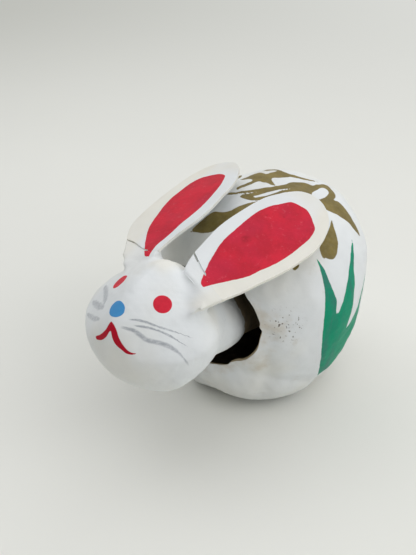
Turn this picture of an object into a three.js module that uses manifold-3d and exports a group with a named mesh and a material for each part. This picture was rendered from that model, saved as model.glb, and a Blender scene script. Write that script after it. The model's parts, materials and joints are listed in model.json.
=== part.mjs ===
// Nodding rabbit of pasted paper: a hollow body with a round opening in front, and a hollow head that
// hangs in the opening on a short thread and is balanced by clay in the end of its neck.
// Millimetres, +Z up. The rabbit looks along -Y and its left side is +X.
import * as THREE from 'three';
import { mergeVertices } from 'three/addons/utils/BufferGeometryUtils.js';
import Module from 'manifold-3d';

const wasm = await Module();
wasm.setup();

// Farther than any piece reaches
const far = 400;

// Gap between two pieces that touch
const seat = 0.3;

// Body: an egg that swells from a core point, with a chest lobe low in front
const bodyCore = new THREE.Vector3(0, 0.8, 59.7);
const bodyHalfWidth = 51;
const bodyFront = 68.3;
const bodyBack = 39;
const bodyUp = 47.6;
const bodyDown = 69.8;
const bodySquareness = 2.18;
const shoulderFullness = 0.43;
const backFullness = 0.07;
const chestHalfSize = new THREE.Vector3(37, 30, 20.4);
const chestY = -31.8;
const chestZ = 21.4;
const lobeBlend = 9;
const bodyWall = 2;

// Front opening that the neck hangs in
const openingHalfWidth = 34;
const openingHalfHeight = 28.9;
const openingZ = 57;

// Paper strip that joins the two halves of the body inside
const stripWidth = 12;
const stripThickness = 0.8;
const stripSetBack = 6;

// Head: sections from the nose to the end of the neck. Each has its place as a share of the length,
// its half width as a share of the widest one, and its top, its bottom and the level at which it is
// widest as shares of the head's height over the nose. Peak says how much the top is a gable.
const noseZ = 64;
const headLength = 114.3;
const headHalfWidth = 36;
const headHeight = 33;
const ridgeRound = 0.12;
const headSections = [
  { along: 0, wide: 0, top: 0, bottom: 0, widest: 0, peak: 0 },
  { along: 0.02, wide: 0.389, top: 0.424, bottom: -0.321, widest: 0.048, peak: 0.6 },
  { along: 0.073, wide: 0.667, top: 0.652, bottom: -0.576, widest: 0.076, peak: 0.73 },
  { along: 0.16, wide: 0.931, top: 0.879, bottom: -0.776, widest: 0.112, peak: 0.8 },
  { along: 0.239, wide: 1, top: 0.955, bottom: -0.758, widest: 0.182, peak: 0.68 },
  { along: 0.318, wide: 0.936, top: 1, bottom: -0.745, widest: 0.182, peak: 0.47 },
  { along: 0.396, wide: 0.789, top: 0.873, bottom: -0.767, widest: 0.061, peak: 0.34 },
  { along: 0.466, wide: 0.681, top: 0.636, bottom: -0.809, widest: -0.091, peak: 0.2 },
  { along: 0.536, wide: 0.625, top: 0.364, bottom: -0.848, widest: -0.242, peak: 0.1 },
  { along: 0.598, wide: 0.594, top: 0.206, bottom: -0.842, widest: -0.318, peak: 0 },
  { along: 0.668, wide: 0.5, top: 0.115, bottom: -0.83, widest: -0.358, peak: 0 },
  { along: 0.738, wide: 0.433, top: 0.024, bottom: -0.903, widest: -0.439, peak: 0 },
  { along: 0.843, wide: 0.417, top: -0.079, bottom: -0.988, widest: -0.533, peak: 0 },
  { along: 1, wide: 0.4, top: -0.194, bottom: -1.079, widest: -0.636, peak: 0 },
];
const headWall = 1.6;

// Where the head hangs: the share of its length that is ahead of the thread, which is 73.3 mm of
// 114.3 mm, and how much of the loft is cut off at the end of the neck
const threadY = -53;
const threadAlong = 73.3 / 114.3;
const noseY = threadY - threadAlong * headLength;
const neckTrim = 8;
const neckEnd = noseY + headLength - neckTrim;

// Ears: flat leaves of paper board, each set in a root that is moulded on the head
const earBase = new THREE.Vector3(12, -91.9, 92.5);
const earSplay = THREE.MathUtils.degToRad(13.5);
const earRise = THREE.MathUtils.degToRad(12.6);
const earRoll = THREE.MathUtils.degToRad(18.6);
const earLength = 82.5;
const earThickness = 1.4;
const earOuterEdge = { base: 16.6, growth: 34.8 };
const earInnerEdge = { base: 2.4, growth: 42.5 };
const earRootLength = 12.5;
const earRootWall = 0.5;
const earRootThickness = earThickness + 2 * seat + 2 * earRootWall;
const earRampStart = 1.5;
const earRampEnd = 14;
const earRampDrop = 7;
const tongueDepth = 8;
const tongueShoulder = 2.5;

// Thread and the two bamboo pegs that it is tied to
const threadDiameter = 1;
const pegDiameter = 2.5;
const bodyPegLength = 26;
const neckPegHeadroom = 0.5;
const threadHoleClearance = 2;
const threadHoleDiameter = threadDiameter + 2 * threadHoleClearance;

// The loops in the thread that turn on the pegs
const loopRadius = (pegDiameter + threadDiameter) / 2 + seat;
const loopReach = loopRadius + threadDiameter / 2;

// Clay in the neck
const clayInset = 1.5;

// Densities in g/cm3
const paperDensity = 0.8;
const bambooDensity = 0.6;
const clayDensity = 2.3;

// Fineness of the curved surfaces
const ringsAlong = 26;
const pointsAround = 44;
const headRingsAlong = 34;
const headRingCrowding = 1.15;
const headPointsAround = 32;
const earEdgePoints = 18;
const roundSides = 20;
const threadSides = 8;

// Halvings in a search for a place
const halvings = 24;

const paperWhite = new THREE.MeshStandardMaterial({ color: 0xd9dbd9, roughness: 0.7, metalness: 0 });
const earPaint = new THREE.MeshStandardMaterial({ color: 0xc43048, roughness: 0.65, metalness: 0 });
const barePaper = new THREE.MeshStandardMaterial({ color: 0xb7a88a, roughness: 0.9, metalness: 0 });
const bamboo = new THREE.MeshStandardMaterial({ color: 0xc9a869, roughness: 0.6, metalness: 0 });
const clay = new THREE.MeshStandardMaterial({ color: 0x8c7864, roughness: 0.95, metalness: 0 });
const cotton = new THREE.MeshStandardMaterial({ color: 0xe6dfcf, roughness: 0.9, metalness: 0 });

const up = new THREE.Vector3(0, 0, 1);
const sideways = new THREE.Vector3(1, 0, 0);
const ahead = new THREE.Vector3(0, 1, 0);

function solid(geometry) {
  const bare = geometry.clone();
  bare.deleteAttribute('normal');
  bare.deleteAttribute('uv');
  const merged = mergeVertices(bare, 1e-5);
  return new wasm.Manifold(new wasm.Mesh({
    numProp: 3,
    vertProperties: new Float32Array(merged.attributes.position.array),
    triVerts: new Uint32Array(merged.index.array),
  }));
}

function toGeometry(shape) {
  const mesh = shape.getMesh();
  const geometry = new THREE.BufferGeometry();
  geometry.setAttribute('position', new THREE.BufferAttribute(new Float32Array(mesh.vertProperties), 3));
  geometry.setIndex(new THREE.BufferAttribute(new Uint32Array(mesh.triVerts), 1));
  geometry.computeVertexNormals();
  return geometry;
}

function mirrored(geometry) {
  const copy = geometry.clone().scale(-1, 1, 1);
  const index = copy.index.array;
  for (let i = 0; i < index.length; i += 3) {
    [index[i], index[i + 1]] = [index[i + 1], index[i]];
  }
  copy.computeVertexNormals();
  return copy;
}

function boxBetween(low, high) {
  const size = new THREE.Vector3().subVectors(high, low);
  const centre = new THREE.Vector3().addVectors(low, high).multiplyScalar(0.5);
  return solid(new THREE.BoxGeometry(size.x, size.y, size.z).translate(centre.x, centre.y, centre.z));
}

// A closed skin through rings of points, from a pole in front to a pole behind
function skin(firstPole, rings, lastPole) {
  const around = rings[0].length;
  const points = [firstPole, ...rings.flat(), lastPole];
  const at = (ring, k) => 1 + ring * around + (k % around);
  const faces = [];
  for (let k = 0; k < around; k++) {
    faces.push(0, at(0, k), at(0, k + 1));
    faces.push(at(rings.length - 1, k + 1), at(rings.length - 1, k), points.length - 1);
    for (let ring = 0; ring < rings.length - 1; ring++) {
      faces.push(at(ring, k), at(ring + 1, k), at(ring + 1, k + 1));
      faces.push(at(ring, k), at(ring + 1, k + 1), at(ring, k + 1));
    }
  }
  const geometry = new THREE.BufferGeometry().setFromPoints(points);
  geometry.setIndex(faces);
  geometry.computeVertexNormals();
  return geometry;
}

// The same skin moved inwards along its normals
function inset(geometry, distance) {
  const copy = geometry.clone();
  const position = copy.attributes.position;
  const normal = geometry.attributes.normal;
  for (let i = 0; i < position.count; i++) {
    position.setXYZ(
      i,
      position.getX(i) - normal.getX(i) * distance,
      position.getY(i) - normal.getY(i) * distance,
      position.getZ(i) - normal.getZ(i) * distance,
    );
  }
  return copy;
}

// A solid cut off flat at a height
function cutAt(shape, floor) {
  return shape.intersect(boxBetween(new THREE.Vector3(-far, -far, floor), new THREE.Vector3(far, far, far)));
}

// How far a ray from the body's core goes to the far side of the chest lobe
function chestReach(direction) {
  const start = new THREE.Vector3(0, bodyCore.y - chestY, bodyCore.z - chestZ).divide(chestHalfSize);
  const step = direction.clone().divide(chestHalfSize);
  const a = step.lengthSq();
  const b = step.dot(start);
  const c = start.lengthSq() - 1;
  return Math.max(0, (-b + Math.sqrt(Math.max(0, b * b - a * c))) / a);
}

function bodyReach(direction) {
  const halfWidth = bodyHalfWidth * (1 + backFullness * direction.z - shoulderFullness * direction.y);
  const halfLength = direction.y < 0 ? bodyFront : bodyBack;
  const halfHeight = direction.z > 0 ? bodyUp : bodyDown;
  const sum = Math.abs(direction.x / halfWidth) ** bodySquareness
    + Math.abs(direction.y / halfLength) ** bodySquareness
    + Math.abs(direction.z / halfHeight) ** bodySquareness;
  const egg = sum ** (-1 / bodySquareness);
  return (egg ** lobeBlend + chestReach(direction) ** lobeBlend) ** (1 / lobeBlend);
}

function bodySkin() {
  const point = (polar, turn) => {
    const direction = new THREE.Vector3(
      Math.sin(polar) * Math.cos(turn),
      -Math.cos(polar),
      Math.sin(polar) * Math.sin(turn),
    );
    return direction.clone().multiplyScalar(bodyReach(direction)).add(bodyCore);
  };
  const rings = [];
  for (let i = 1; i < ringsAlong; i++) {
    const ring = [];
    for (let k = 0; k < pointsAround; k++) {
      ring.push(point((Math.PI * i) / ringsAlong, (2 * Math.PI * (k + 0.5)) / pointsAround));
    }
    rings.push(ring);
  }
  return skin(point(0, 0), rings, point(Math.PI, 0));
}

const bodyOuter = bodySkin();

function bodyInside(depth) {
  return cutAt(solid(inset(bodyOuter, depth)), depth);
}

// The round front opening, run from before the rabbit to its core, wider all round by the margin
function openingCutter(margin) {
  const shape = new THREE.Shape();
  shape.absellipse(0, openingZ, openingHalfWidth + margin, openingHalfHeight + margin, 0, 2 * Math.PI);
  const options = { depth: bodyFront + seat, bevelEnabled: false, curveSegments: roundSides * 2 };
  return solid(new THREE.ExtrudeGeometry(shape, options).rotateX(Math.PI / 2).translate(0, bodyCore.y, 0));
}

function bodyHalf() {
  const shell = cutAt(solid(bodyOuter), 0).subtract(bodyInside(bodyWall)).subtract(openingCutter(0));
  const side = boxBetween(new THREE.Vector3(seat / 2, -far, -far), new THREE.Vector3(far, far, far));
  return toGeometry(shell.intersect(side));
}

function bodySeamStrip() {
  const outside = bodyInside(bodyWall + seat);
  const inside = bodyInside(bodyWall + seat + stripThickness);
  const band = boxBetween(
    new THREE.Vector3(-stripWidth / 2, -far, -far),
    new THREE.Vector3(stripWidth / 2, far, far),
  );
  const pegSpace = boxBetween(
    new THREE.Vector3(-far, -far, openingZ),
    new THREE.Vector3(far, threadY + loopReach + seat, far),
  );
  const strip = outside.subtract(inside).intersect(band);
  return toGeometry(strip.subtract(openingCutter(stripSetBack)).subtract(pegSpace));
}

// How far a ray goes before it first meets a skin
function reachFrom(geometry, origin, direction) {
  const mesh = new THREE.Mesh(geometry, new THREE.MeshBasicMaterial({ side: THREE.DoubleSide }));
  const hits = new THREE.Raycaster(origin, direction).intersectObject(mesh);
  return hits.length ? hits[0].distance : 0;
}

// The highest place under a ceiling for a round thing that lies across the rabbit
function highestUnder(ceiling, x, radius) {
  let height = far;
  for (let i = 0; i <= roundSides; i++) {
    const lean = Math.PI * (i / roundSides - 0.5);
    const start = new THREE.Vector3(x, threadY + radius * Math.sin(lean), openingZ);
    height = Math.min(height, openingZ + reachFrom(ceiling, start, up) - radius * Math.cos(lean));
  }
  return height - seat;
}

// The body's peg lies across the inside of the wall, above the opening
function bodyPegHeight() {
  const ceiling = inset(bodyOuter, bodyWall);
  return Math.min(
    highestUnder(ceiling, bodyPegLength / 2, pegDiameter / 2),
    highestUnder(ceiling, threadDiameter / 2, loopReach),
  );
}

// The point of a curve whose first coordinate is the wanted one
function pointAt(curve, wanted) {
  let low = 0;
  let high = 1;
  for (let i = 0; i < halvings; i++) {
    const middle = (low + high) / 2;
    if (curve.getPoint(middle).x < wanted) {
      low = middle;
    } else {
      high = middle;
    }
  }
  return curve.getPoint((low + high) / 2);
}

// A smooth curve through two sizes of the head's sections
function headCurve(sizes) {
  return new THREE.CatmullRomCurve3(
    headSections.map((s) => new THREE.Vector3(noseY + headLength * s.along, ...sizes(s))),
    false,
    'centripetal',
  );
}

const headSides = headCurve((s) => [headHalfWidth * s.wide, s.peak]);
const headHeights = headCurve((s) => [noseZ + headHeight * s.top, noseZ + headHeight * s.bottom]);
const headLevels = headCurve((s) => [noseZ + headHeight * s.widest, 0]);

// Height of a section over its widest level as a share, between an ellipse and a gable with a round ridge
function roof(across, peak) {
  const slope = (Math.hypot(across, ridgeRound) - ridgeRound) / (Math.hypot(1, ridgeRound) - ridgeRound);
  return (1 - peak) * Math.sqrt(1 - across ** 2) + peak * (1 - slope);
}

function headPoint(side, turn) {
  const { y: top, z: bottom } = pointAt(headHeights, side.x);
  const level = pointAt(headLevels, side.x).y;
  const across = Math.cos(turn);
  const rise = Math.sin(turn) > 0 ? (top - level) * roof(across, side.z) : (level - bottom) * Math.sin(turn);
  return new THREE.Vector3(side.y * across, side.x, level + rise);
}

function headSkin() {
  const rings = [];
  for (let i = 1; i <= headRingsAlong; i++) {
    const side = headSides.getPoint((i / headRingsAlong) ** headRingCrowding);
    const ring = [];
    for (let k = 0; k < headPointsAround; k++) {
      ring.push(headPoint(side, (2 * Math.PI * (k + 0.5)) / headPointsAround));
    }
    rings.push(ring);
  }
  const nose = new THREE.Vector3(0, noseY, noseZ);
  const tail = new THREE.Vector3(0, noseY + headLength + seat, headLevels.getPoint(1).y);
  return skin(nose, rings, tail);
}

const headOuter = headSkin();

function headInside(depth) {
  return solid(inset(headOuter, depth));
}

// Where the left ear lies: across, along, and its face
function earPlace() {
  const along = new THREE.Vector3(
    Math.sin(earSplay) * Math.cos(earRise),
    Math.cos(earSplay) * Math.cos(earRise),
    Math.sin(earRise),
  );
  const level = new THREE.Vector3(Math.cos(earSplay), -Math.sin(earSplay), 0);
  const across = level.applyAxisAngle(along, earRoll);
  const face = new THREE.Vector3().crossVectors(across, along);
  return new THREE.Matrix4().makeBasis(across, along, face).setPosition(earBase);
}

// Half width of the leaf on one side at a share of its length
function leafEdge(edge, share) {
  return Math.sqrt(Math.max(0, 1 - share)) * (edge.base + edge.growth * share);
}

// A piece of the leaf between two distances along it, as a slab that may be grown all round,
// set where the left ear lies
function earSlab(from, to, thickness, margin) {
  const shape = new THREE.Shape();
  const outer = [];
  const inner = [];
  for (let i = 0; i <= earEdgePoints; i++) {
    const ease = Math.sin((Math.PI / 2) * (i / earEdgePoints));
    const distance = from + (to - from) * ease;
    const share = distance / earLength;
    outer.push(new THREE.Vector2(leafEdge(earOuterEdge, share) + margin, distance));
    inner.push(new THREE.Vector2(-leafEdge(earInnerEdge, share) - margin, distance));
  }
  const tip = to >= earLength ? inner.slice(0, -1) : inner;
  shape.setFromPoints([...outer, ...tip.reverse()]);
  return new THREE.ExtrudeGeometry(shape, { depth: thickness, bevelEnabled: false })
    .translate(0, 0, -thickness / 2)
    .applyMatrix4(earPlace());
}

// Side view of the root: flat on top, with a ramp in front that sinks into the head
function earRootWedge() {
  const side = new THREE.Shape([
    new THREE.Vector2(earRootLength, earRootThickness / 2),
    new THREE.Vector2(-earRampStart, earRootThickness / 2),
    new THREE.Vector2(-earRampEnd, -earRampDrop),
    new THREE.Vector2(earRootLength, -earRootThickness / 2),
  ]);
  const turned = new THREE.Matrix4().makeBasis(ahead, up, sideways);
  return new THREE.ExtrudeGeometry(side, { depth: 2 * headHalfWidth, bevelEnabled: false })
    .translate(0, 0, -headHalfWidth)
    .applyMatrix4(turned)
    .applyMatrix4(earPlace());
}

const tongueStart = earRootLength - tongueDepth;

function earRoot() {
  const leaf = earSlab(-earRampEnd, earRootLength, 2 * earRampDrop, 0);
  return toGeometry(solid(leaf).intersect(solid(earRootWedge())));
}

function earPocket() {
  return earSlab(
    tongueStart - seat,
    earRootLength + seat,
    earThickness + 2 * seat,
    seat - tongueShoulder,
  );
}

function leftEar() {
  const blade = earSlab(earRootLength + seat, earLength, earThickness, 0);
  const tongue = earSlab(tongueStart, earRootLength + 2 * seat, earThickness, -tongueShoulder);
  return toGeometry(solid(blade).add(solid(tongue)).subtract(solid(headOuter)));
}

// The neck's peg lies across the neck, under its top wall
const neckWalls = inset(headOuter, headWall);
const neckMiddle = new THREE.Vector3(0, threadY, pointAt(headLevels, threadY).y);
const neckCeiling = neckMiddle.z + reachFrom(neckWalls, neckMiddle, up);
const neckPegZ = neckCeiling - neckPegHeadroom - loopReach;

function neckPegLength() {
  const corner = new THREE.Vector3(0, threadY + pegDiameter / 2, neckPegZ + pegDiameter / 2);
  return 2 * (reachFrom(neckWalls, corner, sideways) - seat);
}

function peg(length, z) {
  return new THREE.CylinderGeometry(pegDiameter / 2, pegDiameter / 2, length, roundSides)
    .rotateZ(Math.PI / 2)
    .translate(0, threadY, z);
}

// A piece of the left side and the same one on the right
function bothSides(geometry) {
  const left = solid(geometry);
  return left.add(solid(mirrored(toGeometry(left))));
}

function headShell() {
  const hole = new THREE.CylinderGeometry(threadHoleDiameter / 2, threadHoleDiameter / 2, far, roundSides)
    .rotateX(Math.PI / 2)
    .translate(0, threadY, neckPegZ + far / 2);
  const behind = boxBetween(new THREE.Vector3(-far, neckEnd, -far), new THREE.Vector3(far, far, far));
  return toGeometry(solid(headOuter).add(bothSides(earRoot()))
    .subtract(headInside(headWall))
    .subtract(bothSides(earPocket()))
    .subtract(solid(hole))
    .subtract(behind));
}

// Moment of a piece's mass about the thread, along the rabbit
function balance(geometry, density) {
  const position = geometry.attributes.position;
  const index = geometry.index;
  const corner = (i) => new THREE.Vector3().fromBufferAttribute(position, index.getX(i));
  let moment = 0;
  for (let i = 0; i < index.count; i += 3) {
    const [a, b, c] = [corner(i), corner(i + 1), corner(i + 2)];
    const mass = (density * a.dot(new THREE.Vector3().crossVectors(b, c))) / 6;
    moment += mass * ((a.y + b.y + c.y) / 4 - threadY);
  }
  return moment;
}

function clayBehind(front) {
  const slice = boxBetween(
    new THREE.Vector3(-far, front, -far),
    new THREE.Vector3(far, neckEnd - clayInset, far),
  );
  return toGeometry(headInside(headWall + seat).intersect(slice));
}

// The clay is packed forward in the neck until the head balances on its peg
function neckWeight(paperMoment) {
  let front = threadY + loopReach + seat;
  let back = neckEnd - clayInset - seat;
  for (let i = 0; i < halvings; i++) {
    const middle = (front + back) / 2;
    if (balance(clayBehind(middle), clayDensity) + paperMoment > 0) {
      front = middle;
    } else {
      back = middle;
    }
  }
  return clayBehind((front + back) / 2);
}

function hangingThread(low, high) {
  const loop = (z) => solid(new THREE.TorusGeometry(loopRadius, threadDiameter / 2, threadSides, roundSides)
    .rotateY(Math.PI / 2)
    .translate(0, threadY, z));
  const length = high - low - 2 * loopRadius;
  const drop = new THREE.CylinderGeometry(threadDiameter / 2, threadDiameter / 2, length, threadSides)
    .rotateX(Math.PI / 2)
    .translate(0, threadY, (low + high) / 2);
  return toGeometry(loop(low).add(loop(high)).add(solid(drop)));
}

const bodyHalfShell = bodyHalf();
const ear = leftEar();
const head = headShell();
const neckPeg = peg(neckPegLength(), neckPegZ);
const bodyPegZ = bodyPegHeight();
const paperMoment = balance(head, paperDensity) + 2 * balance(ear, paperDensity)
  + balance(neckPeg, bambooDensity);

const rabbit = new THREE.Group();

function addPiece(name, geometry, material) {
  const mesh = new THREE.Mesh(geometry, material);
  mesh.name = name;
  rabbit.add(mesh);
}

addPiece('body_left_half', bodyHalfShell, paperWhite);
addPiece('body_right_half', mirrored(bodyHalfShell), paperWhite);
addPiece('body_seam_strip', bodySeamStrip(), barePaper);
addPiece('body_peg', peg(bodyPegLength, bodyPegZ), bamboo);
addPiece('hanging_thread', hangingThread(neckPegZ, bodyPegZ), cotton);
addPiece('head_shell', head, paperWhite);
addPiece('left_ear', ear, earPaint);
addPiece('right_ear', mirrored(ear), earPaint);
addPiece('neck_peg', neckPeg, bamboo);
addPiece('neck_weight', neckWeight(paperMoment), clay);

// The origin is under the middle of the whole rabbit, on what it stands on
const whole = new THREE.Box3().setFromObject(rabbit);
rabbit.position.set(0, -(whole.min.y + whole.max.y) / 2, -whole.min.z);

export default rabbit;
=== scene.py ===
"""Looks of a pasted paper rabbit whose head hangs in the front opening of its body and nods."""

import json
import json
import math
from contextlib import contextmanager

import bmesh
import bpy
import numpy as np
from bpy.props import FloatProperty, FloatVectorProperty, IntProperty, PointerProperty
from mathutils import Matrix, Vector
from mathutils.bvhtree import BVHTree


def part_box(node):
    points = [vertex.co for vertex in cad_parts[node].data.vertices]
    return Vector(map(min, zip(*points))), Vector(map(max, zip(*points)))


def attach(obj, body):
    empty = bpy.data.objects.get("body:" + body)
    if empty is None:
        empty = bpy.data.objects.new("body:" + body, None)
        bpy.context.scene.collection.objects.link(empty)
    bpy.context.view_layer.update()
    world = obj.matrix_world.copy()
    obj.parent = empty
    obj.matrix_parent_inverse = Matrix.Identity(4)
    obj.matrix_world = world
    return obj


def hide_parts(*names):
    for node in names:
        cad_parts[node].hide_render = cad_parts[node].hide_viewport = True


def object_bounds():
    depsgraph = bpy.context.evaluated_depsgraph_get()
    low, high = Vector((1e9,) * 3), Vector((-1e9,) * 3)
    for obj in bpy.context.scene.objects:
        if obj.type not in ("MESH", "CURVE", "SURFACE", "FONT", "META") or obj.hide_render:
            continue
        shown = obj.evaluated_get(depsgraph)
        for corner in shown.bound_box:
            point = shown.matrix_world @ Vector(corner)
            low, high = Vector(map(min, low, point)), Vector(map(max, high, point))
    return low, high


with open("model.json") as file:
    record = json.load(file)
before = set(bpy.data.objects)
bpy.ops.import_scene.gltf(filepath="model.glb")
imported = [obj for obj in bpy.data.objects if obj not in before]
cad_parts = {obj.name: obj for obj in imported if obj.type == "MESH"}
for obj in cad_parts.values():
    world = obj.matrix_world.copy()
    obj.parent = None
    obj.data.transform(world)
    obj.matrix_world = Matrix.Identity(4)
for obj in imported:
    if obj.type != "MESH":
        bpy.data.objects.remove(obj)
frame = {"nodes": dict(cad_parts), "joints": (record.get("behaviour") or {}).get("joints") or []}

CAD_BOX = [list(corner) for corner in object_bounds()]

bl_info = {
    "name": "Nodding paper rabbit",
    "version": (1, 0, 0),
    "blender": (4, 5, 0),
    "location": "3D View > Sidebar > Rabbit",
    "description": "Pasted paper rabbit with a painted body and a head that nods on a thread",
    "category": "Add Mesh",
}

MM = 0.001
# Farther away than anything, and what is stored where no painted shape is near, in millimetres
FAR = 1e9
UNPAINTED = 9.0
# Grain of the finest lumps under the paint
FINEST_LUMPS = 3.4


def joint_place(name):
    """The point that a joint turns about, in millimetres."""
    joint = next(j for j in frame["joints"] if j["name"] == name)
    return Vector(joint["pos_m"]) / MM


# The places that the construction gives, in millimetres. The construction is drawn with the rabbit
# farther forward, and then centred: FORWARD takes a place in the drawing to its place in the frame.
BODY_PEG = joint_place("head_sway")
NECK_PEG = joint_place("head_nod")
DRAWN_THREAD_Y = -53.0
FORWARD = BODY_PEG.y - DRAWN_THREAD_Y

# Body: an egg that swells from a core point, with a chest lobe low in front
BODY_CORE = np.array((0.0, 0.8 + FORWARD, 59.7))
BODY_HALF_WIDTH = 51.0
BODY_FRONT = 68.3
BODY_BACK = 39.0
BODY_UP = 47.6
BODY_DOWN = 69.8
BODY_SQUARENESS = 2.18
SHOULDER_FULLNESS = 0.43
BACK_FULLNESS = 0.07
CHEST_HALF_SIZE = np.array((37.0, 30.0, 20.4))
CHEST = np.array((0.0, -31.8 + FORWARD, 21.4))
LOBE_BLEND = 9.0
BODY_WALL = 2.0

# Front opening
OPENING_HALF_WIDTH = 34.0
OPENING_HALF_HEIGHT = 28.9
OPENING_Z = 57.0

# Head: place from the nose, half width, top, bottom, widest level, and how much the top is a gable
NOSE_Y = -126.3 + FORWARD
NOSE_Z = 64.0
HEAD_LENGTH = 114.3
HEAD_HALF_WIDTH = 36.0
HEAD_HEIGHT = 33.0
RIDGE_ROUND = 0.12
HEAD_SECTIONS = (
    (0, 0, 0, 0, 0, 0),
    (0.02, 0.389, 0.424, -0.321, 0.048, 0.6),
    (0.073, 0.667, 0.652, -0.576, 0.076, 0.73),
    (0.16, 0.931, 0.879, -0.776, 0.112, 0.8),
    (0.239, 1, 0.955, -0.758, 0.182, 0.68),
    (0.318, 0.936, 1, -0.745, 0.182, 0.47),
    (0.396, 0.789, 0.873, -0.767, 0.061, 0.34),
    (0.466, 0.681, 0.636, -0.809, -0.091, 0.2),
    (0.536, 0.625, 0.364, -0.848, -0.242, 0.1),
    (0.598, 0.594, 0.206, -0.842, -0.318, 0),
    (0.668, 0.5, 0.115, -0.83, -0.358, 0),
    (0.738, 0.433, 0.024, -0.903, -0.439, 0),
    (0.843, 0.417, -0.079, -0.988, -0.533, 0),
    (1, 0.4, -0.194, -1.079, -0.636, 0),
)
HEAD_WALL = 1.6
NECK_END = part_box("head_shell")[1].y / MM

# Left ear: the middle of its root, and how it is turned
EAR_BASE = np.array((12.0, -91.9 + FORWARD, 92.5))
EAR_SPLAY = math.radians(13.5)
EAR_RISE = math.radians(12.6)
EAR_ROLL = math.radians(18.6)
EAR_THICKNESS = 1.4


def mm(value, name, description):
    """A length of the add-on's settings, in metres there and given here in millimetres."""
    return FloatProperty(name=name, description=description, default=value * MM, unit="LENGTH", precision=4)


def tint(value, name, description):
    """A colour of the add-on's settings, given as the 0 to 255 that it shows as."""
    def linear(channel):
        share = channel / 255
        return share / 12.92 if share <= 0.04045 else ((share + 0.055) / 1.055) ** 2.4

    colour = tuple(linear(channel) for channel in value)
    return FloatVectorProperty(name=name, description=description, default=colour, subtype="COLOR", size=3,
                               min=0, max=1)


class RabbitShape(bpy.types.PropertyGroup):
    wall_waves: mm(0.45, "Waves", "Height of the broad waves that hand pasting leaves")
    wall_lumps: mm(0.13, "Lumps", "Height of the small lumps under the paint")
    crack_width: mm(1.0, "Crack width", "Gap between an ear and its root where the paint has cracked")
    rim_wander: mm(0.7, "Rim wander", "How far the cut edge of the opening strays from its ellipse")
    around: IntProperty(name="Points around", description="Points round the body", default=330, min=24)
    along: IntProperty(name="Rings along", description="Rings from the opening to the back",
                       default=132, min=12)
    head_grain: mm(0.62, "Head grain", "Size of the smallest facets of the head")


class RabbitPaint(bpy.types.PropertyGroup):
    white: tint((222, 225, 226), "White", "Chalk white ground")
    # Cream also stands for painted warm light on the outer side and tips of the ears and on their roots
    cream: tint((226, 223, 212), "Cream", "White that has yellowed, on the edges of the ears")
    red: tint((204, 34, 56), "Red", "Ears and eyes")
    dark_red: tint((184, 6, 38), "Dark red", "Mouth")
    blue: tint((72, 146, 203), "Blue", "Nose")
    green: tint((0, 140, 105), "Green", "Grass on the flanks")
    gold: tint((128, 112, 58), "Gold", "Brush strokes on the back")
    grey: tint((158, 162, 168), "Grey", "Whiskers")
    bare: tint((178, 160, 128), "Bare paper", "Paper where no paint covers it")
    dirt: tint((120, 100, 76), "Dirt", "Specks and rubbed places")
    bamboo: tint((202, 168, 108), "Bamboo", "The two pegs")
    thread: tint((226, 217, 196), "Thread", "The cotton thread")
    clay: tint((132, 112, 92), "Clay", "The weight in the neck")
    floor: tint((228, 228, 222), "Floor", "The floor under the rabbit")
    backdrop: tint((224, 225, 221), "Backdrop", "The pale ground that the floor fades into")
    backdrop_dim: tint((188, 189, 183), "Dim backdrop", "The same, at the left, where less light falls")


# Shapes in numbers


def waves(points, length, seed, count=22):
    """A smooth random height from -1 to 1 at each point, with bumps of about a given length."""
    draw = np.random.default_rng(seed)
    directions = draw.normal(size=(count, 3))
    directions /= np.linalg.norm(directions, axis=1)[:, None]
    numbers = 2 * math.pi / (length * draw.uniform(0.7, 1.5, count))
    phases = draw.uniform(0, 2 * math.pi, count)
    total = np.zeros(len(points))
    for direction, number, phase in zip(directions, numbers, phases):
        total += np.cos(points @ direction * number + phase)
    return total / math.sqrt(count)


def smooth_step(low, high, value):
    """0 below low and 1 above high, with a soft step between. low may be the larger."""
    share = np.clip((value - low) / (high - low), 0, 1)
    return share * share * (3 - 2 * share)


def distance(points, place):
    """How far points are from a place."""
    return np.linalg.norm(points - np.asarray(place), axis=1)


def hump(points, place, size):
    """1 at a place, falling to 0 over about a given size."""
    return np.exp(-((distance(points, place) / size) ** 2))


def run_along(line):
    """How far along a line each of its points lies."""
    return np.concatenate(((0,), np.cumsum(np.linalg.norm(np.diff(line, axis=0), axis=1))))


def resample(line, run, wanted):
    """Places on a flat line, at wanted measures of its run."""
    return np.stack([np.interp(wanted, run, line[:, k]) for k in range(2)], 1)


def flat_waves(across, along, length, seed):
    """Waves over a flat sheet."""
    return waves(np.stack((across, along, np.zeros(len(across))), 1), length, seed)


def pasted(points, settings, share, broad, small, seed):
    """The waves and lumps that hand pasting leaves, in millimetres, at a share of their full height."""
    relief = settings.wall_waves / MM * waves(points, broad, seed)
    relief += settings.wall_lumps / MM * waves(points, small, seed + 1)
    relief += 0.5 * settings.wall_lumps / MM * waves(points, FINEST_LUMPS, seed + 2)
    return relief * share


def body_reach(directions):
    """How far the body's skin is from its core in each direction."""
    x, y, z = directions.T
    half_width = BODY_HALF_WIDTH * (1 + BACK_FULLNESS * z - SHOULDER_FULLNESS * y)
    half_length = np.where(y < 0, BODY_FRONT, BODY_BACK)
    half_height = np.where(z > 0, BODY_UP, BODY_DOWN)
    total = (np.abs(x / half_width) ** BODY_SQUARENESS + np.abs(y / half_length) ** BODY_SQUARENESS
             + np.abs(z / half_height) ** BODY_SQUARENESS)
    egg = total ** (-1 / BODY_SQUARENESS)
    start = (BODY_CORE - CHEST) / CHEST_HALF_SIZE
    step = directions / CHEST_HALF_SIZE
    a = (step * step).sum(1)
    b = step @ start
    c = start @ start - 1
    chest = np.maximum(0, (-b + np.sqrt(np.maximum(0, b * b - a * c))) / a)
    return (egg ** LOBE_BLEND + chest ** LOBE_BLEND) ** (1 / LOBE_BLEND)


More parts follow.
